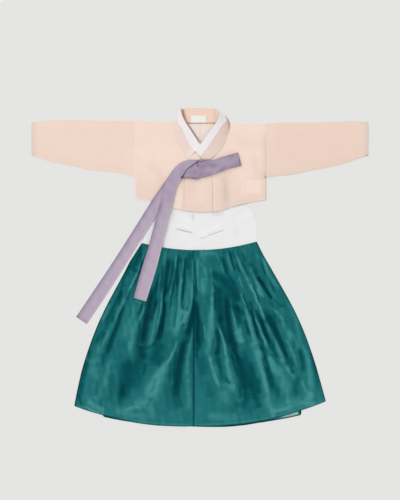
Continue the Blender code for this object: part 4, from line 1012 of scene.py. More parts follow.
@dataclass(frozen=True)
class Jeogori:
    """The jacket's body: two backs, an inner and an outer front, and the outer front's seop."""

    shoulder_line: Table = (
        # x, y of the fold along the shoulders and the top of the sleeves
        (-473, 407), (-455, 409), (-425, 413), (-370, 413.4), (-290, 412), (-190, 410.8), (-110, 409),
        (-60, 408.5), (60, 406), (95, 403.2), (180, 402.4), (200, 404.3), (225, 406.6), (330, 406.8),
        (395, 409.4), (430, 411), (473, 408),
    )
    armhole: float = 185.0
    bodice_top: float = 298.0
    floor_y: float = 348.0
    sleeve_drop: float = 30.0
    shoulder_roll: float = 24.0
    side_roll: float = 12.0
    side_seams: Table = (
        # y, right side x, left side x
        (192, -175.5, 185.5), (208, -182, 185.5), (222, -182.3, 185), (246, -180.5, 185), (262, -184, 184.5),
        (410, -185, 183.5),
    )
    hem_line: Table = (
        # x, y
        (-175, 192), (-134, 186), (-67, 166), (-28, 159.5), (14, 157), (56, 161), (101, 174), (140, 182),
        (185, 190),
    )
    outer_edge: Table = (
        # y, x of the outer front's free edge
        (410, 66), (384, 56), (356, 33), (340, 12), (331, -5), (324, -14.6), (312, -23.9), (304, -29.9),
        (296, -35), (276, -41), (158, -45),
    )
    inner_edge: Table = (
        # y, x of the inner front's edge
        (410, -58), (372, -36), (344, -20), (311, 0), (290, 12), (255, 20), (157, 20),
    )
    centre_back: float = 1.0
    seam_gap: float = 0.02
    seop_seam: float = 35.0
    seop_top: float = 346.0
    lap: tuple[float, float] = (46.0, 90.0)
    neck: tuple[float, float] = (-58.0, 66.0)
    neck_rise: float = 3.0  # how far the back runs up under the neck band
    back_hem_lift: float = 3.0
    care_patch: tuple[float, float, float, float] = (130.0, 170.0, 209.0, 245.0)
    # Soft swells of the fronts; their tone is painted shade in the hollows and painted highlight on the
    # rises.
    swells: Creases = Creases((
        (-150, 300, -110, 250, -96, 200, 12, 16, -0.5, -0.06),
        (-120, 330, -88, 280, -70, 230, 14, 16, 0.6, 0.05), (62, 268, 70, 220, 74, 175, 8, 10, -0.5, -0.10),
        (118, 280, 122, 235, 126, 195, 9, 10, 0.5, 0.07), (150, 330, 160, 270, 168, 215, 8, 10, -0.4, -0.06),
        (8, 250, 4, 215, -2, 172, 12, 14, 0.4, 0.04), (100, 380, 130, 345, 170, 330, 12, 12, -0.4, -0.04),
    ))
    base_tone: float = 0.66
    back_base: float = 0.92
    back_cut: Cut = Cut(192.0, 256.0, 0.88)
    inner_cut: Cut = Cut(208.0, 256.0, 0.83)
    outer_cut: Cut = Cut(155.0, 256.0, 0.88)
    seop_cut: Cut = Cut(84.0, 192.0, 0.70)

    def shoulder(self, x: Array) -> Array:
        """Y of the fold along the shoulders and the top of the sleeves."""
        return read(self.shoulder_line, 1, x)

    def base(self, x: Array, y: Array) -> Array:
        """What the jacket lies on: the bodice, and the floor above and outside it."""
        over_bodice = 1.0 - ease(y, self.bodice_top, self.floor_y)
        beside = 1.0 - ease(np.abs(x), self.armhole, self.armhole + self.sleeve_drop)
        return 2.0 * LAYER * over_bodice * beside

    def air(self, x: Array, y: Array) -> Array:
        """Air between the two layers: least at the shoulder fold, the side seams and the hem."""
        at_shoulder = ease(self.shoulder(x) - y, 0.0, self.shoulder_roll)
        at_side = ease((self.armhole - np.abs(x)) / self.side_roll + ramp(y, 255, 276), 0.0, 1.0)
        at_hem = ease(y - self.hem(x), -6, 26)
        return np.minimum(lerp(GAP, AIR, np.minimum(at_shoulder, at_hem)), lerp(SEWN, AIR, at_side))

    def soft(self, x: Array, y: Array) -> Array:
        """Soft unevenness of the fronts, still at their edges."""
        inside = ease(self.armhole - np.abs(x), 0.0, 30) * ease(self.shoulder(x) - y, 0.0, 40)
        return (0.25 * ripple(x, y, 41, 120, 90) + self.swells.read(x, y)[0]) * inside

    def inner(self, x: Array, y: Array) -> Array:
        """Underside of the inner front."""
        return self.base(x, y) + CLOTH + self.air(x, y) + self.soft(x, y)

    def outer(self, x: Array, y: Array) -> Array:
        """Underside of the outer front: a layer above the inner front, then down to its level."""
        return self.inner(x, y) + LAYER * (1.0 - ease(x, *self.lap))

    def side(self, y: Array, which: int) -> Array:
        """X of the right (1) or left (2) armhole and side seam."""
        return np.interp(y, column(self.side_seams, 0), column(self.side_seams, which))

    def hem(self, x: Array) -> Array:
        """Y of the jacket's curved hem."""
        return read(self.hem_line, 1, x)

    def edge(self, table: Table, y: Array) -> Array:
        """X of a front's free edge."""
        return read(table, 1, y)

    def tone(self, x: Array, y: Array) -> Array:
        """How light the fronts look: painted shade and highlight of the swells, darker towards the hem,
        painted shade and light along the hem, seams deeper with painted shade beside the left one and a
        painted shadow where the sleeve meets it, the care label's place lighter with a painted highlight
        on one edge.
        """
        from_hem = y - self.hem(x)
        tone = self.base_tone + self.swells.read(x, y)[1] + 0.012 * ripple(x, y, 42, 70, 70) \
            - 0.075 * ease(y, 275, 215)
        # Painted shade along the hem of the left front, painted light along the rest of it.
        tone = tone - lerp(-0.10, 0.26, ease(x, 60, 130)) * mark(from_hem, 1.5) \
            - 0.03 * mark(from_hem - 9, 1.2)
        # Lighter along the right side; deeper along the left side seam, with painted shade beside it and a
        # painted shadow where the sleeve's lower edge meets it.
        right, left, above = x - self.side(y, 1), self.side(y, 2) - x, ease(y, 235, 262)
        tone = tone + 0.10 * mark(right, 2) \
            - lerp(0.30, 0.12, above) * mark(left - 0.5, 1.8) * ease(y, 405, 330) \
            - 0.10 * mark(left - 4, 10) * above * ease(y, 405, 340) \
            - 0.06 * mark(np.hypot(left - 3, y - 260), 12) \
            - 0.50 * mark(np.hypot(left - 1.0, y - 253.5), 3)
        # The care label shows as a paler patch, with a painted highlight along its edge nearer the centre.
        x0, x1, y0, y1 = self.care_patch
        patch = ramp(x, x0 - 1.5, x0 + 1.5) * ramp(x, x1 + 1.5, x1 - 1.5) \
            * ramp(y, y0 - 1.5, y0 + 1.5) * ramp(y, y1 + 1.5, y1 - 1.5)
        return tone + 0.16 * patch + 0.14 * mark(x - x0 - 2, 2) * patch

    def panel(self, name: str, right: Line, left: Line,
              height: Field, tone: Field, cut: Cut, rests_on: Sequence[str],
              top: Line | None = None, hem_lift: float = 0.0,
              size: tuple[int, int] = (110, 90), rolled: bool = True) -> Piece:
        """A panel between two edges.

        Args:
            name: the piece and its node.
            right, left: x of the two edges at y.
            height: underside over the floor.
            tone: how light the cloth is.
            cut: the flat cut.
            rests_on: the pieces below it.
            top: y of the top edge at x, or None for the shoulder line.
            hem_lift: how far behind the hem line it ends.
            size: rows and columns.
            rolled: the top edge is a fold that turns down to the floor.

        Returns:
            The dressed piece.
        """
        u, v = grid(*size)
        y = lerp(self.shoulder(0.0), 175.0, v)
        for _ in range(4):
            x = lerp(right(y), left(y), u)
            y = lerp(top(x) if top else self.shoulder(x), self.hem(x) + hem_lift, v)
        points = stack(x, y, height(x, y))
        shade = tone(x, y)
        if rolled:
            turns = []
            for angle in np.linspace(math.pi, 0.0, 7)[:-1]:
                turn = points[0].copy()
                turn[:, 1] += ROLL_RADIUS * math.sin(angle)
                turn[:, 2] -= ROLL_RADIUS * (1.0 - math.cos(angle))
                turns.append(turn)
            points = np.concatenate([np.array(turns), points])
            shade = np.concatenate([np.repeat(shade[:1], len(turns), axis=0), shade])
        return dress(shell(name, points, tone=shade), GAUZE, cut, rests_on, name)

    def back_neck(self, x: Array) -> Array:
        """Top edge of the back: the shoulder line, a little higher under the neck band."""
        right, left = self.neck
        inside = np.minimum(ramp(x, right - 4, right + 4), ramp(x, left, left - 8))
        return self.shoulder(x) - 1.0 + self.neck_rise * inside

    def back_tone(self, x: Array, y: Array) -> Array:
        """How light the back is: deeper along the neck band."""
        return self.back_base + 0.02 * ripple(x, y, 43, 60, 60) - 0.30 * mark(y - 403, 2.5)

    def outer_tone(self, x: Array, y: Array) -> Array:
        """How light the outer front looks: deeper at the seop's seam, painted shade in a soft fold near
        x 73, and painted light beside its free edge above y 300, which hides that edge's shadow.
        """
        seam = x - self.seop_seam
        depth = lerp(0.02, 0.26, ease(y, 275, 190))
        # Painted shade in a soft fold near x 73; painted light beside the free edge above y 300 hides its
        # shadow.
        return self.tone(x, y) - depth * mark(seam, 1.3) + 0.04 * mark(seam - 5, 3) \
            - 0.07 * mark(x - 73, 12) * ease(y, 300, 250) \
            + lerp(-0.03, 0.40, ease(y, 296, 304)) * mark(x - self.edge(self.outer_edge, y), 2.6)

    def inner_tone(self, x: Array, y: Array) -> Array:
        """How light the inner front is: one layer over the white bodice beside the lap."""
        sheer = ease(x, -90, -66) * ease(x, -44, -66) * ease(y, 245, 185)
        return lerp(self.tone(x, y), 0.94, 0.85 * sheer)

    def build(self) -> list[Piece]:
        """Make the backs, the fronts and the seop."""
        centre, gap, seam = self.centre_back, self.seam_gap, self.seop_seam
        backs = (("jacket_back_right", lambda y: self.side(y, 1), lambda y: centre - gap + 0.0 * y),
                 ("jacket_back_left", lambda y: centre + gap + 0.0 * y, lambda y: self.side(y, 2)))
        return [
            *(self.panel(name, right, left, self.base, self.back_tone, self.back_cut,
                         ["bodice_front"], self.back_neck, self.back_hem_lift, (60, 50), False)
              for name, right, left in backs),
            self.panel("jacket_front_right", lambda y: self.side(y, 1),
                       lambda y: self.edge(self.inner_edge, y), self.inner, self.inner_tone,
                       self.inner_cut, ["jacket_back_right"]),
            self.panel("jacket_front_left",
                       lambda y: np.maximum(self.edge(self.outer_edge, y), seam + gap),
                       lambda y: self.side(y, 2), self.outer, self.outer_tone, self.outer_cut,
                       ["jacket_back_left"]),
            self.panel("seop_left", lambda y: self.edge(self.outer_edge, y),
                       lambda y: seam - gap + 0.0 * y, self.outer, self.outer_tone, self.seop_cut,
                       ["jacket_front_right"], lambda x: self.seop_top + 0.0 * x, 0.0, (100, 44), False),
        ]


@dataclass(frozen=True)
class Sleeve:
    """A sleeve: one piece folded at the shoulder and sewn along its lower edge."""

    name: str
    side: float  # -1 right, 1 left
    jacket: Jeogori
    shade: float  # painted shade: how much deeper than the body it looks, on the side away from the light
    cuff_depth: float  # how much deeper its cuff hem is
    seam_and_shade_depth: float  # how dark its seams look, with painted shade along the sewn lower fold
    stations: Table = (
        # distance from centre back, lower y of the right sleeve, of the left sleeve
        (185, 256, 253), (215, 264.5, 257.5), (261, 270, 262), (310, 275.5, 273), (358, 286, 281.5),
        (414, 297, 296), (448, 308, 308), (471, 315, 315),
    )
    crown: float = 1.2
    wrinkle: float = 0.12
    base_tone: float = 0.80
    hem: float = 15.0
    count: int = 130
    across: int = 56
    cut: Cut = Cut(310.0, 292.0, 0.87, Held.FOLDED)

    def section(self) -> tuple[Array, Array, Array]:
        """Once round the sleeve, from the lower edge over the top and back underneath.

        Returns:
            The share from shoulder to lower edge, the layer (0 under, 1 upper) and the bulge in Y.
        """
        radius = 0.5 * LAYER
        turn = np.linspace(0.0, math.pi, 9)[1:-1]
        t = 0.5 - 0.5 * np.cos(np.linspace(0.0, math.pi, self.across))
        half = 0.5 + 0.5 * np.cos(turn)
        return (np.concatenate([t[::-1], 0.0 * turn, t, 0.0 * turn + 1.0]),
                np.concatenate([0.0 * t + 1.0, half, 0.0 * t, 1.0 - half]),
                np.concatenate([0.0 * t, radius * np.sin(turn), 0.0 * t, -radius * np.sin(turn)]))

    def build(self) -> list[Piece]:
        """Make the sleeve as a flattened tube with an open cuff.

        Returns:
            The dressed piece, which stands for the sleeve's two nodes.
        """
        which = 2 if self.side > 0 else 1
        out = column(self.stations, 0)
        away = np.linspace(out[0], out[-1], self.count)[:, None]
        top = self.jacket.shoulder(self.side * away)
        low = read(self.stations, which, away)
        t, layer, bulge = (ring[None, :] for ring in self.section())
        radius = 0.5 * LAYER
        y = lerp(top - radius, low + radius, t) + bulge
        start = self.jacket.side(y, which) + 0.02 * self.side
        x = self.side * away + (start - self.side * out[0]) * (1.0 - ramp(away, out[0], out[0] + 30))
        full = ease(np.minimum(top - y, y - low), 0.0, self.jacket.shoulder_roll)
        inside = ease(away, out[0], out[0] + 30)
        crown = self.crown * np.sin(math.pi * t) * ramp(away, out[0], 2.0 * out[0])
        puff = (AIR - GAP) * full + crown + self.wrinkle * ripple(x, y, 51 + int(self.side), 90, 60) \
            * full * inside
        z = self.jacket.base(x, y) + 0.5 * WALL + layer * (LAYER + puff)
        points, shade = stack(x, y, z), self.tones(x, y, top, low) - 0.05 * (1.0 - layer)
        if self.side < 0:
            points, shade = points[:, ::-1], shade[:, ::-1]
        obj = shell(self.name, points, tone=shade, wrap=True, centred=True)
        return [dress(obj, SLEEVE_GAUZE, self.cut, ["jacket_front_" + self.name.split("_")[1]],
                      self.name + "_under", self.name + "_upper")]

    def tones(self, x: Array, y: Array, upper: Array, lower: Array) -> Array:
        """How light the sleeve looks: painted shade over all of it as its shade field gives, cuff hem and
        armhole deeper, and the lower seam deeper with painted shade along that sewn fold.
        """
        out = np.abs(x)
        cuff, armhole = self.stations[-1][0] - out, out - self.stations[0][0]
        tone = self.base_tone - self.shade + 0.015 * ripple(x, y, 61, 90, 60)
        tone = tone - self.cuff_depth * ease(cuff, self.hem + 3, 1.0) \
            - 0.03 * mark(cuff - self.hem, 1.5) \
            - self.seam_and_shade_depth * mark(y - lower, 1.5 + 2.0 * (self.side > 0.0)) \
            - 0.02 * mark(upper - y, 2)
        seam = lerp(-0.08, self.seam_and_shade_depth, ease(y, 405, 330) * (self.side > 0.0))
        return tone + 0.06 * mark(armhole - 14, 18) * (self.side > 0.0) - seam * mark(armhole, 1.8)


# ---- collar and labels

@dataclass(frozen=True)
class Collar:
    """The git, a band all round the neck, with the white dongjeong sewn on to its neck edge."""

    jacket: Jeogori
    left: Table = (
        # neck edge x, y, outer edge x, y, share of the width that the white strip covers
        (56, 436, 72, 424, 0.92), (52, 417, 82, 410, 0.75), (45, 404, 83, 392, 0.48),
        (30, 383, 74, 366, 0.43), (15.5, 364, 62, 338, 0.39), (4.4, 347, 43, 315, 0.40),
        (-8, 332.5, 23, 300, 0.47), (-12.5, 326.5, 17, 295.5, 0.50),
    )
    right: Table = (
        (-55, 446, -62, 440, 0.92), (-48.6, 424, -65.5, 414, 0.92), (-36.5, 403, -70, 384, 0.50),
        (-24, 384, -64, 360, 0.47), (-12, 366, -54, 340, 0.53), (0.8, 344.6, -31, 303.5, 0.50),
    )
    git_back: Table = (
        # lower x, y, upper x, y
        (-54, 404.8, -54, 434), (-47, 404.8, -47, 444), (0, 404.8, 0, 446.5), (40, 404.8, 40, 445.5),
        (52, 404.8, 52, 440), (60, 404.8, 60, 430),
    )
    strip_back: Table = (
        (-49, 430, -49, 446), (0, 432, 0, 448.5), (42, 432, 42, 447.5), (58, 424, 62, 434),
    )
    clear: float = 0.8
    strip_clear: float = 0.6
    back_z: float = 1.7
    git_base: float = 0.68
    inside_base: float = 0.69
    plain_base: float = 0.86
    strip_base: float = 0.72
    length_count: int = 90
    width_count: int = 17
    git_cuts: tuple[Cut, Cut] = (Cut(56.0, 190.0, 0.72, Held.FOLDED), Cut(50.0, 140.0, 0.72, Held.FOLDED))
    strip_cuts: tuple[Cut, Cut] = (Cut(30.0, 165.0, 0.72), Cut(30.0, 130.0, 0.72))

    def band(self, name: str, table: Table, height: Field, tone: Field, finish: Finish, cut: Cut,
             rests_on: str, strip: bool = False, wall: float = WALL, crown: float = 0.5,
             inset: float = 0.0) -> Piece:
        """A band whose rows run across it.

        Args:
            name: the piece and its node.
            table: its rows.
            height: underside at a place.
            tone: how light it is, from the share along it and the share across it.
            finish: its cloth.
            cut: its flat cut.
            rests_on: the piece below it.
            strip: it takes only the share of the width that the table's last column gives.
            wall: its thickness.
            crown: how far its middle swells.
            inset: how far inside the neck line its neck edge is.

        Returns:
            The dressed piece.
        """
        table = tuple(row for row in table if not strip or row[4] > 0.0)
        knots = np.arange(len(table), dtype=float)
        stations = np.linspace(0.0, knots[-1], self.length_count)
        x0, y0, x1, y1 = (curve_at(knots, column(table, k), stations)[:, None] for k in range(4))
        share = curve_at(knots, column(table, 4), stations)[:, None] if strip else 1.0
        across = np.linspace(0.0, 1.0, self.width_count)[None, :]
        place = lerp(inset / np.hypot(x1 - x0, y1 - y0), share, across)
        x, y = lerp(x0, x1, place), lerp(y0, y1, place)
        z = height(x, y) + crown * (1.0 - np.abs(2.0 * across - 1.0) ** 3)
        z = np.maximum(z - (0.0 if strip else 0.6) * across ** 8, 0.0)
        along = np.linspace(0.0, 1.0, self.length_count)[:, None]
        lengths = run_length(x0[:, 0], y0[:, 0])
        width = np.hypot(x1 - x0, y1 - y0) * share
        cloth = stack(lengths[:, None], width * across)
        points, shade = stack(x, y, z), tone(along + 0.0 * across, across + 0.0 * along)
        points, shade, cloth = face_up(points, shade, cloth)
        return dress(shell(name, points, wall, shade, cloth), finish, cut, [rests_on], name)

    def git_tone(self, along: Array, across: Array) -> Array:
        """How light the left git looks: painted shade, brown and deepest at its outer edge, where it turns
        over the shoulder; lighter lower down, with painted light along its outer edge there and at its
        end, which hides their shadows.
        """
        shaded = ease(along, 0.50, 0.15)
        return self.git_base + 0.10 * ease(along, 0.45, 0.75) \
            + 0.22 * mark(across - 1.0, 0.05) * (1.0 - shaded) \
            + 0.30 * mark(along - 1.0, 0.03) - (0.18 * mark(across - 0.96, 0.12) + 0.20 * across) * shaded

    def strip_tone(self, along: Array, across: Array) -> Array:
        """How light the white strip looks: a crisp deeper outer edge, painted shade, grey, where it turns
        over the shoulder, and painted light at its end and along its neck edge near the end, which hides
        the shadow where the strips cross.
        """
        return self.strip_base - 0.10 * mark(across - 1.0, 0.05) - 0.12 * ease(along, 0.60, 0.25) \
            - 0.06 * ease(along, 0.22, 0.05) + 0.30 * mark(along - 1.0, 0.03) \
            + 0.14 * mark(across, 0.10) * ease(along, 0.66, 0.78)

    def build(self) -> list[Piece]:
        """Make the three parts of the git and the three of the white strip."""
        git = CLOTH + self.clear
        strip = git + CLOTH + self.strip_clear - 0.3
        outer, inner = self.jacket.outer, self.jacket.inner
        lines_left, lines_right = (tuple(row[:4] for row in t) for t in (self.left, self.right))
        step = lambda x, y: (outer(x, y) - inner(x, y)) \
            * ease(np.hypot(x + 5, y - 338), 32, 14)
        # Painted shadow inside the back neck: along its lower edge, at its right end and beside the right
        # white strip's edge.
        inside = lambda along, across: self.inside_base \
            - 0.30 * mark(across, 0.05) - 0.40 * mark(along, 0.16) \
            - 0.08 * mark(along - 0.62, 0.05) - 0.32 * mark(along - 0.178 - 0.065 * (1.0 - across), 0.030)
        # Right git: its neck edge runs 2.4 mm past the neck line as a dark strip of painted shadow; painted
        # light at its outer edge and end hides their shadows.
        plain = lambda along, across: self.plain_base \
            - 0.76 * mark(across, 0.10) + 0.14 * mark(across - 1.0, 0.05) \
            + 0.60 * mark(along - 1.0, 0.05)
        # Right white strip: deeper outer edge, and painted light at its end that hides its shadow.
        white = lambda along, across: self.strip_base \
            - 0.08 * mark(across - 1.0, 0.05) + 0.24 * mark(along - 1.0, 0.04)
        return [
            self.band("git_back", self.git_back, lambda x, y: self.back_z + 0.0 * x, inside,
                      COLLAR_INSIDE, Cut(118.0, 44.0, 0.93, Held.FOLDED), "dongjeong_back", crown=0.0),
            self.band("dongjeong_back", self.strip_back, lambda x, y: 0.0 * x, self.strip_tone, STRIP,
                      Cut(120.0, 18.0, 0.86), "jacket_back_left", wall=THIN_WALL, crown=0.0),
            self.band("git_right", lines_right, lambda x, y: inner(x, y) + git + step(x, y), plain,
                      COLLAR_GAUZE, self.git_cuts[1], "jacket_front_right", inset=-2.4),
            self.band("dongjeong_right", self.right, lambda x, y: inner(x, y) + strip + step(x, y), white,
                      STRIP, self.strip_cuts[1], "git_right", True, THIN_WALL, inset=1.4),
            self.band("git_left", lines_left, lambda x, y: outer(x, y) + git, self.git_tone,
                      COLLAR_GAUZE, self.git_cuts[0], "jacket_front_left"),
            self.band("dongjeong_left", self.left, lambda x, y: outer(x, y) + strip, self.strip_tone,
                      STRIP, self.strip_cuts[0], "git_left", True, THIN_WALL, inset=-1.2),
        ]


@dataclass(frozen=True)
class Label:
    """A bare woven label."""

    name: str
    box: tuple[float, float, float, float]  # x from, x to, y from, y to
    z: float
    rests_on: str
    bow: float = 0.25
    base_tone: float = 0.72
    size: tuple[int, int] = (16, 32)
    end_lines: Table = ((-0.25, 0.0, 1.0), (-0.12, 4.0, 0.8))

    def build(self) -> list[Piece]:
        """Make the label, a little bowed, with turned ends."""
        x0, x1, y0, y1 = self.box
        u, v = grid(*self.size)
        x, y = lerp(x0, x1, u), lerp(y1, y0, v)
        z = self.z + self.bow * np.sin(math.pi * u) * np.sin(math.pi * v)
        edge = np.minimum(x - x0, x1 - x)
        tone = self.base_tone + edge_lines(edge, self.end_lines)
        obj = shell(self.name, stack(x, y, z), THIN_WALL, tone)
        return [dress(obj, TAPE, Cut(x1 - x0 + 8.0, y1 - y0, 0.9), [self.rests_on], self.name)]


# ---- goreum, the ribbon tie

@dataclass(frozen=True)
class Goreum:
    """The tie of a single-loop bow: two tails, the loop and the knot."""

    jacket: Jeogori
    chima: Chima
    bodice: Bodice
    width: float = 36.0
    step: float = 4.0  # distance between two sections of a tail
    reach: float = 12.0  # how far ahead and behind a tail feels what it lies on
    settle: int = 4  # sections over which a tail bridges hollows
    clear: float = 0.8
    margin: float = 5.0
    across: int = 15
    long_tail: Table = (
        # x, y of the middle line, width
        (-4, 284, 36), (-28, 284, 36), (-47, 277, 35), (-64, 259, 34), (-90, 222, 34), (-119, 181, 33.5),
        (-183, 80, 33), (-239, -8, 34.5), (-285, -78, 36), (-331.3, -146.9, 36),
    )
    short_tail: Table = (
        (-8, 283, 36), (-28, 282.5, 35), (-47, 275, 33), (-62.5, 259.5, 32), (-74.5, 244, 32.5),
        (-81, 229, 33), (-84.5, 214, 33), (-88.5, 199, 33), (-97.5, 165, 33), (-105.5, 137, 33),
        (-126, 55, 36), (-142.4, -2, 39), (-168, -88, 36),
    )
    loop_rows: Table = (
        # x, y of the middle line, width
        (-2, 277.5, 52), (14, 279, 48), (42, 283.5, 38), (70, 293.5, 35), (98, 301, 36), (109, 304, 37),
    )
    loop_opening: float = 2.4
    loop_lines: Table = ((-0.07, 0.0, 1.5), (-0.05, 4.0, 1.0))
    collar_end: tuple[float, float] = (40.0, 58.0)
    # Folds of the loop; their tone is painted shade in the troughs and painted highlight on the ridges.
    loop_folds: Creases = Creases((
        (-6, 300, 10, 294, 46, 291, 2.2, 5, -0.4, -0.05), (-4, 295, 9, 298.4, 24, 302, 1.6, 1.4, -0.4, -0.26),
        (-6, 282, 12, 284, 50, 287, 4, 6, -0.4, -0.08), (-6, 268, 12, 271, 46, 276, 2, 5, 0.3, 0.03),
        (-6, 259, 12, 261, 40, 267, 2.4, 5, -0.8, -0.06), (30, 270, 60, 284, 100, 297, 4, 5, 0.4, 0.05),
    ))
    knot_rows: Table = (
        # x, lower y, upper y
        (-54, 250.2, 251.4), (-50, 249.8, 256.5), (-46.2, 250.2, 260.5), (-43, 250.6, 266.5),
        (-36.4, 251, 275.5), (-28, 250.8, 283.2), (-19.6, 249.4, 289), (-11, 247.4, 294), (-5, 248.4, 298.6),
        (-1, 250.2, 302),
    )
    knot_height: float = 6.0
    tail_tone: float = 0.66
    loop_tone: float = 0.56
    knot_tone: float = 0.53
    loop_size: tuple[int, int] = (70, 21)
    knot_size: tuple[int, int] = (56, 36)
    knot_rolls: tuple[float, float] = (6.0, 5.0)  # radius of its upper and of its lower edge
    # Folds of the knot; their tone is painted shade in the troughs and painted highlight on the ridges.
    knot_folds: Creases = Creases((
        (-5, 298, -6, 290, -5, 279, 1.8, 2.6, -0.9, -0.20), (-50, 252, -30, 262, -6, 270, 3, 6, -0.5, -0.03),
        (-38, 272, -22, 276, -6, 277, 3, 4, 0.6, 0.06), (-26, 250, -14, 252, -2, 254, 3, 4, -0.8, -0.12),
    ))
    tail_cut: Cut = Cut(36.0, 556.0, 0.98)
    short_cut: Cut = Cut(36.0, 420.0, 0.98)
    loop_cut: Cut = Cut(52.0, 240.0, 0.80, Held.FOLDED)

    def floor(self, x: Array, y: Array) -> Array:
        """Upper face of whatever lies under a ribbon, with a margin past each edge."""
        jacket, chima = self.jacket, self.chima
        on_jacket = (np.abs(x) < jacket.armhole) & (y > jacket.hem(x) - self.margin)
        on_outer = x > jacket.edge(jacket.outer_edge, y) - self.margin
        z = np.where(on_outer, jacket.outer(x, y), jacket.inner(x, y)) + CLOTH
        on_bodice = y > chima.waist(0.5) + self.margin
        bodice = np.where(np.abs(x) < self.bodice.outline[0][2] + self.margin, 2.0 * LAYER + 2.0, 0.0)
        u, v = chima.shares(x, y)
        beside = x > chima.side(v, 1) - self.margin
        skirt = np.where(beside, chima.relief(x, y)[0] + 1.3, 0.0)
        return np.where(on_jacket, z, np.where(on_bodice, bodice, skirt))

    def path(self, points: Table) -> Array:
        """Places, unit directions, lengths and widths at even distances along a tail."""
        xs, ys = column(points, 0), column(points, 1)
        lengths = run_length(xs, ys)
        stations = np.linspace(0.0, lengths[-1], round(lengths[-1] / self.step) + 1)
        x, y = curve_at(lengths, xs, stations), curve_at(lengths, ys, stations)
        dx, dy = np.gradient(x), np.gradient(y)
        length = np.hypot(dx, dy)
        width = curve_at(lengths, column(points, 2), stations)
        return stack(x, y, dx / length, dy / length, stations, width)

    def rest(self, path: Array, floor: Field) -> Array:
        """Heights at which a ribbon lies on what is below it, bridging the hollows."""
        x, y, dx, dy = (path[:, k][:, None, None] for k in range(4))
        along = np.linspace(-1.0, 1.0, 7)[None, :, None] * self.reach
        aside = np.linspace(-0.55, 0.55, 9)[None, None, :] * self.width
        peaks = floor(x + dx * along - dy * aside, y + dy * along + dx * aside).max(axis=(1, 2))
        return bridged(peaks, self.settle, self.settle)

    def tail(self, name: str, points: Table, floor: Field, cut: Cut, rests_on: Sequence[str],
             merge: float = 34.0) -> tuple[Piece, Array, Array]:
        """A tail, laid over the garment.

        Args:
            name: the piece and its node.
            points: its middle line.
            floor: what it lies on.
            cut: its flat cut.
            rests_on: the pieces below it.
            merge: length below the knot over which its right edge does not show.

        Returns:
            The dressed piece, its path and its heights.
        """
        path = self.path(points)
        heights = self.rest(path, floor)
        x, y, dx, dy, s, width = (path[:, k][:, None] for k in range(6))
        share = np.linspace(0.5, -0.5, self.across)[None, :]
        aside = share * width
        wave = 0.25 * ripple(s, aside, 71 + len(points), 60, 40)
        z = heights[:, None] + self.clear + wave - 0.25 * np.abs(2.0 * share) ** 6
        end, right = s[-1] - s, aside + 0.5 * width
        apart = ease(s, merge, merge + 40)
        # Painted shade along the edge that right measures from and painted highlight along the other, as if
        # lit from that side; painted shade where the tail leaves the knot.
        tone = self.tail_tone - 0.17 * apart * mark(right, 9) + lerp(0.02, -0.10, apart) * mark(right, 2) \
            + lerp(0.10, 0.20, ease(s, 120, 220)) * mark(width - right, 3) \
            - 0.05 * mark(end - 5, 1.2) - 0.10 * ease(end, 16, 0.0) * (merge < 40) \
            + 0.02 * ripple(s, aside, 73, 50, 60) \
            + 0.04 * ease(s, 60, 20) - 0.10 * ease(s, 16, 0.0) \
            - 0.07 * ease(s, 190, 120) * (merge > 40)
        points_3d = stack(x - dy * aside, y + dx * aside, z)
        cloth = stack(s, aside)
        points_3d, tone, cloth = face_up(points_3d, tone, cloth)
        obj = shell(name, points_3d, tone=tone, cloth=cloth)
        return dress(obj, SILK, cut, rests_on, name), path, heights

    def over(self, path: Array, heights: Array) -> Field:
        """Upper face of the garment with one tail already laid on it."""
        reach = 0.5 * self.width + 14.0

        def field(x: Array, y: Array) -> Array:
            """The higher of the garment and the tail."""
            z = self.floor(x, y)
            for (px, py, *_), height in zip(path[::2], heights[::2]):
                near = (x - px) ** 2 + (y - py) ** 2 < reach ** 2
                z = np.where(near, np.maximum(z, height + self.clear + 1.5), z)
            return z
        return field

    def loop(self) -> Piece:
        """The loop: a ribbon that runs out from the knot, turns and comes back."""
        layer = WALL + self.loop_opening
        radius = 0.5 * layer
        xs = column(self.loop_rows, 0)
        run = np.linspace(xs[0], xs[-1], self.loop_size[0])
        mid, width = (read(self.loop_rows, k, run) for k in (1, 2))
        tilt = np.arctan(np.gradient(mid, run)) * ramp(run, xs[0], 20)
        over_collar = 1.0 - ease(run, *self.collar_end)
        floor = self.jacket.outer(run, mid) + CLOTH + (0.8 + CLOTH) * over_collar
        low = bridged(floor, 8, 6) + self.clear + 0.5 * WALL
        angles = np.linspace(0.0, math.pi, 11)[1:-1]
        index = np.concatenate([np.arange(len(run)), np.full(len(angles), len(run) - 1),
                                np.arange(len(run))[::-1]])
        push = np.concatenate([0.0 * run, radius * np.sin(angles), 0.0 * run])
        puff = 1.2 * np.sin(math.pi * ramp(run, xs[0], xs[-1] + 20))
        lift = np.concatenate([0.0 * run, radius - radius * np.cos(angles), (layer + puff)[::-1]])
        upper = np.concatenate([0.0 * run, 0.0 * angles, 1.0 + 0.0 * run])[:, None]
        share = np.linspace(0.5, -0.5, self.loop_size[1])[None, :]
        aside = share * width[index][:, None]
        x = (run[index] + push)[:, None] - aside * np.sin(tilt[index])[:, None]
        y = mid[index][:, None] + aside * np.cos(tilt[index])[:, None]
        folds, shade = self.loop_folds.read(x, y)
        z = (low[index] + lift)[:, None] + upper * (folds - 0.7 * np.abs(2.0 * share) ** 4)
        edge = 0.5 * width[index][:, None] - np.abs(aside)
        end = xs[-1] + radius - x
        # Painted shade and highlight of its folds, painted shade along its edges, at its turned end and
        # beside the knot; deeper towards its end.
        tone = self.loop_tone + shade + edge_lines(edge, self.loop_lines) \
            - 0.16 * mark(end, 2) - 0.06 * ease(x, 24, 0.0) - 0.05 * ease(x, 50, 70) \
            + 0.04 * ripple(x, y, 81, 40, 50)
        cloth = stack(run_length(run[index] + push, low[index] + lift)[:, None], aside)
        points = stack(x, y, z)
        obj = shell("goreum_loop", points, tone=tone, cloth=cloth, centred=True)
        return dress(obj, SILK, self.loop_cut, ["git_left", "jacket_front_left"], "goreum_loop")

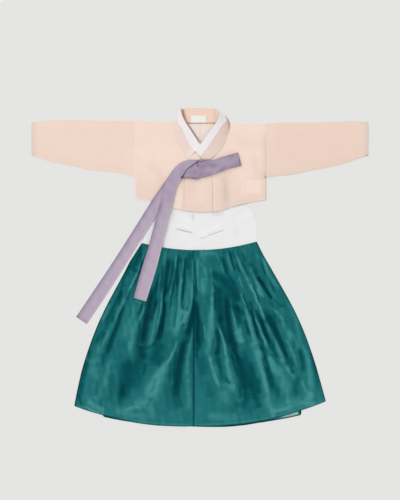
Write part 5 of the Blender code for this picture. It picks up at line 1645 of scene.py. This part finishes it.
    def knot(self, base: float) -> Piece:
        """The knot: the wrap that holds tails and loop, steep along its turned upper edge.

        Args:
            base: height of its underside.

        Returns:
            The dressed piece, a closed solid.
        """
        xs = column(self.knot_rows, 0)
        run = np.linspace(xs[0], xs[-1], self.knot_size[0])
        low, high = (read(self.knot_rows, k, run)[:, None] for k in (1, 2))
        t = 0.5 - 0.5 * np.cos(np.linspace(0.0, math.pi, self.knot_size[1]))[None, :]
        y = lerp(high, low, t)
        x = run[:, None] + 0.0 * t
        folds, shade = self.knot_folds.read(x, y)
        upper_roll, lower_roll = self.knot_rolls
        roll = rounded(high - y, upper_roll) * rounded(y - low, lower_roll)
        body = (0.55 + 0.45 * np.sin(math.pi * ramp(x, xs[0] - 10, xs[-1] + 26))) \
            * (1.0 - 0.62 * ease(x, -30, -1.0))
        height = 1.0 + (self.knot_height * body + folds) * roll
        # Painted shade of its folds, along its steep turned upper edge, along its lower edge and at both
        # ends.
        tone = self.knot_tone + shade - 0.75 * mark(high - y, lerp(3, 6.5, ease(x, -36, -48))) \
            * ease(x, 4, -8) \
            - 0.16 * mark(y - low, 1.8) - 0.20 * mark(x - xs[0], 4) \
            - 0.03 * mark(x - xs[-1], 3.5) + 0.04 * ripple(x, y, 82, 30, 30)
        points = stack(x, y, base + height)
        down = stack(x, y, np.full(x.shape, base))
        ring = np.concatenate([points, down[:, ::-1][:, 1:-1]], axis=1)
        shades = np.concatenate([tone, 0.0 * tone[:, ::-1][:, 1:-1]], axis=1)
        obj = closed_tube("goreum_knot", ring, shades)
        return dress(obj, SILK, None, [], "goreum_knot")

    def build(self) -> list[Piece]:
        """Make the tails, the loop and the knot, from the floor up."""
        long_obj, path, heights = self.tail("goreum_tail_long", self.long_tail, self.floor, self.tail_cut,
                                            ["jacket_front_right", "bodice_front", "skirt_front_right"])
        short_obj, _, upper = self.tail("goreum_tail_short", self.short_tail, self.over(path, heights),
                                        self.short_cut, ["goreum_tail_long", "skirt_front_right"], 124.0)
        return [long_obj, short_obj, self.loop(), self.knot(float(upper[0]) + self.clear + 0.9)]


def closed_tube(name: str, rings: Array, tone: Array) -> Piece:
    """A solid skin through closed rings of points, capped at both ends."""
    rows, columns = rings.shape[:2]
    index = np.arange(rows * columns).reshape(rows, columns)
    following = np.roll(index, -1, axis=1)
    faces = np.stack([index[:-1], following[:-1], following[1:], index[1:]], axis=-1)
    faces = faces.reshape(-1, 4).tolist() + [index[0, ::-1].tolist(), index[-1].tolist()]
    places = rings.reshape(-1, 3)
    obj = cloth_object(name, places, faces, tone.ravel(), places * MM)
    work = bmesh.new()
    work.from_mesh(obj.data)
    bmesh.ops.recalc_face_normals(work, faces=work.faces)
    work.to_mesh(obj.data)
    work.free()
    obj.data.shade_smooth()
    return obj


# ---- stitching

@dataclass(frozen=True)
class Stitching:
    """Rows of thread along lines, made by one Geometry Nodes tree."""

    name: str
    finish: Finish
    pitch: float = 3.6
    length: float = 2.4
    thread: float = 0.45
    tone: float = 0.72

    def tree(self) -> bpy.types.NodeTree:
        """The node tree: lines in, a slightly uneven stitch at every step out.

        Returns:
            A tree with the inputs Pitch, Stitch Length, Thread and Finish.
        """
        tree = bpy.data.node_groups.new("stitch_rows", "GeometryNodeTree")
        tree.interface.new_socket("Lines", in_out="INPUT", socket_type="NodeSocketGeometry")
        for label in ("Pitch", "Stitch Length", "Thread"):
            tree.interface.new_socket(label, in_out="INPUT", socket_type="NodeSocketFloat")
        tree.interface.new_socket("Finish", in_out="INPUT", socket_type="NodeSocketMaterial")
        tree.interface.new_socket("Stitches", in_out="OUTPUT", socket_type="NodeSocketGeometry")

        add = partial(add_node, tree)
        group = add("NodeGroupInput", {}).outputs
        curve = add("GeometryNodeMeshToCurve", {"Mesh": group["Lines"]})
        points = add("GeometryNodeResampleCurve", {"Curve": curve.outputs[0], "Length": group["Pitch"]},
                     mode="LENGTH")
        tangent = add("GeometryNodeInputTangent", {})
        turn = add("FunctionNodeAlignRotationToVector", {"Vector": tangent.outputs[0]}, axis="X")
        bead = add("GeometryNodeMeshIcoSphere", {"Radius": 0.5, "Subdivisions": 1})
        size = add("ShaderNodeCombineXYZ", {"X": group["Stitch Length"], "Y": group["Thread"],
                                            "Z": group["Thread"]})
        stitch = add("GeometryNodeTransform", {"Geometry": bead.outputs[0], "Scale": size.outputs[0]})
        uneven = add("FunctionNodeRandomValue", {}, data_type="FLOAT")
        for socket in uneven.inputs:
            if socket.enabled and socket.name in ("Min", "Max", "Seed"):
                socket.default_value = {"Min": 0.85, "Max": 1.1, "Seed": 3}[socket.name]
        chosen = next(s for s in uneven.outputs if s.enabled)
        placed = add("GeometryNodeInstanceOnPoints", {
            "Points": points.outputs[0], "Instance": stitch.outputs[0],
            "Rotation": turn.outputs[0], "Scale": chosen})
        real = add("GeometryNodeRealizeInstances", {"Geometry": placed.outputs[0]})
        done = add("GeometryNodeSetMaterial", {"Geometry": real.outputs[0], "Material": group["Finish"]})
        add("NodeGroupOutput", {0: done.outputs[0]})
        return tree

    def build(self, lines: Sequence[Array]) -> Piece:
        """Lay the stitches.

        Args:
            lines: each an array of places on the cloth's upper face, in table millimetres.

        Returns:
            One dressed mesh of them all.
        """
        places, edges, start = [], [], 0
        for line in lines:
            places.append(to_frame(line))
            edges += [(start + i, start + i + 1) for i in range(len(line) - 1)]
            start += len(line)
        mesh = bpy.data.meshes.new(self.name + "_lines")
        mesh.from_pydata(np.concatenate(places).tolist(), edges, [])
        obj = in_scene(self.name, mesh)
        material = bpy.data.materials.get(self.finish.name) or self.finish.material()
        modifier = obj.modifiers.new("stitches", "NODES")
        modifier.node_group = bpy.data.node_groups.get("stitch_rows") or self.tree()
        values = {"Pitch": self.pitch * MM, "Stitch Length": self.length * MM, "Thread": self.thread * MM,
                  "Finish": material}
        for item in modifier.node_group.interface.items_tree:
            if item.in_out == "INPUT" and item.name in values:
                modifier[item.identifier] = values[item.name]
        shown = obj.evaluated_get(bpy.context.evaluated_depsgraph_get())
        stitched = bpy.data.meshes.new_from_object(shown)
        obj.modifiers.clear()
        obj.data = stitched
        stitched.name = self.name
        count = len(stitched.vertices)
        where = np.zeros(3 * count)
        stitched.vertices.foreach_get("co", where)
        mark_cloth(stitched, np.full(count, self.tone), where)
        return dress(obj, self.finish, None, [])


@dataclass(frozen=True)
class Seams:
    """Where the garment is topstitched."""

    chima: Chima
    jacket: Jeogori
    skirt_spans: Table = ((-346.0, -24.0), (-13.0, 347.0))  # x from, x to
    skirt_rise: float = 10.0
    waist_rise: float = 4.0
    jacket_spans: Table = ((-172.0, -47.0), (-42.0, 183.0))
    jacket_rise: float = 9.0
    count: int = 160

    def skirt_hem(self) -> list[Array]:
        """A row above the hem of each front."""
        lines = []
        for span in self.skirt_spans:
            x = np.linspace(*span, self.count)
            u, _ = self.chima.shares(x, np.full(x.shape, -400.0))
            y = self.chima.hem(u) + self.skirt_rise
            lines.append(stack(x, y, self.chima.relief(x, y)[0] + WALL))
        return lines

    def waist(self) -> list[Array]:
        """A row on the bodice above the gathered seam."""
        u = np.linspace(0.02, 0.98, self.count)
        x, _ = self.chima.place(u, 0.0 * u)
        y = self.chima.waist(u) + self.waist_rise
        return [stack(x, y, LAYER + WALL + 0.1)]

    def jacket_hem(self) -> list[Array]:
        """A row above the hem of the fronts."""
        lines = []
        for span, height in zip(self.jacket_spans, (self.jacket.inner, self.jacket.outer)):
            x = np.linspace(*span, self.count // 2)
            y = self.jacket.hem(x) + self.jacket_rise
            lines.append(stack(x, y, height(x, y) + WALL))
        return lines

    def label_ends(self, label: Label) -> list[Array]:
        """A row down each end of a label."""
        x0, x1, y0, y1 = label.box
        y = np.linspace(y0 + 1.5, y1 - 1.5, 6)
        return [stack(x, y, label.z + THIN_WALL) for x in (x0 + 3.0, x1 - 3.0)]


# ---- studio

@dataclass(frozen=True)
class Studio:
    """A plain pale floor, soft light and a camera that looks straight down."""

    view_height: float = 1.4  # metres of floor that the long side of the frame shows
    view_centre_y: float = 0.0488
    lens: float = 85.0
    sensor: float = 36.0
    floor_colour: Colour = (229, 230, 227)
    ambient: float = 0.72
    key: float = 0.98
    key_angle: float = 80.0  # how soft the key light is, degrees
    key_tilt: tuple[float, float] = (30.0, 128.0)  # from straight above, and round from +X, degrees
    floor_glow: float = 0.88  # share of the floor's brightness that comes through it
    floor_half: float = 4.0  # half its width, metres
    floor_depth: float = 0.0004  # how far it is under the garment, metres

    def build(self) -> None:
        """Make the floor, the lights and the camera."""
        scene = bpy.context.scene
        scene.view_settings.view_transform = "Standard"
        self.floor()
        world = bpy.data.worlds.new("studio")
        world.use_nodes = True
        world.node_tree.nodes["Background"].inputs["Color"].default_value = (1.0, 1.0, 1.0, 1.0)
        world.node_tree.nodes["Background"].inputs["Strength"].default_value = self.ambient
        scene.world = world
        sun = bpy.data.lights.new("key", "SUN")
        sun.energy = self.key
        sun.angle = math.radians(self.key_angle)
        key = in_scene("key", sun)
        tilt, turn = (math.radians(a) for a in self.key_tilt)
        key.rotation_euler = (0.0, tilt, turn)
        lens = bpy.data.cameras.new("camera")
        lens.lens, lens.sensor_width, lens.sensor_fit = self.lens, self.sensor, "AUTO"
        camera = in_scene("camera", lens)
        camera.location = (0.0, self.view_centre_y, self.view_height * self.lens / self.sensor)
        scene.camera = camera

    def floor(self) -> None:
        """The floor, just under the garment."""
        half, under = self.floor_half, -self.floor_depth
        mesh = bpy.data.meshes.new("floor")
        mesh.from_pydata([(-half, -half, under), (half, -half, under), (half, half, under),
                          (-half, half, under)], [], [(0, 1, 2, 3)])
        floor = in_scene("floor", mesh)
        graph = Graph("floor_paint")
        colour = linear(self.floor_colour)
        unlit = [c * (1.0 - self.floor_glow) for c in colour[:3]] + [1.0]
        set_inputs(graph.tree, graph.shader, {
            "Base Color": unlit, "Roughness": 0.9, "Specular IOR Level": 0.0,
            "Emission Color": colour, "Emission Strength": self.floor_glow})
        mesh.materials.append(graph.material)


# ---- whole garment

def report(pieces: Sequence[Piece]) -> None:
    """Log each finished piece."""
    for piece in pieces:
        log.info("%s: %d faces", piece.name, len(piece.data.polygons))


def main() -> None:
    """Build the garment from the floor up, then the studio round it."""
    logging.basicConfig(level=logging.INFO, format="%(name)s %(message)s")
    chima, bodice, jacket = Chima(), Bodice(), Jeogori()
    sleeves = (Sleeve("sleeve_right", -1.0, jacket, 0.0, 0.40, 0.06),
               Sleeve("sleeve_left", 1.0, jacket, 0.14, 0.36, 0.22))
    neck_label = Label("neck_label", (-25.0, 17.0, 406.5, 426.5), 3.0, "git_back")
    care_label = Label("care_label", (130.0, 170.0, 209.0, 245.0), 5.0, "jacket_back_left")
    report(chima.build())
    report(bodice.build(chima, jacket.hem))
    report(jacket.build())
    for sleeve in sleeves:
        report(sleeve.build())
    report(Collar(jacket).build())
    report(neck_label.build())
    report(care_label.build())
    report(Goreum(jacket, chima, bodice).build())
    seams = Seams(chima, jacket)
    report([Stitching("stitches_skirt", SATIN, tone=0.35).build(seams.skirt_hem()),
            Stitching("stitches_bodice", COTTON, 3.0, 2.0).build(seams.waist()),
            Stitching("stitches_jacket", GAUZE, tone=0.5).build(seams.jacket_hem()),
            Stitching("stitches_label", TAPE, 2.0, 1.3, 0.35).build(
                seams.label_ends(neck_label) + seams.label_ends(care_label))])
    Studio().build()


if __name__ == "__main__":
    main()
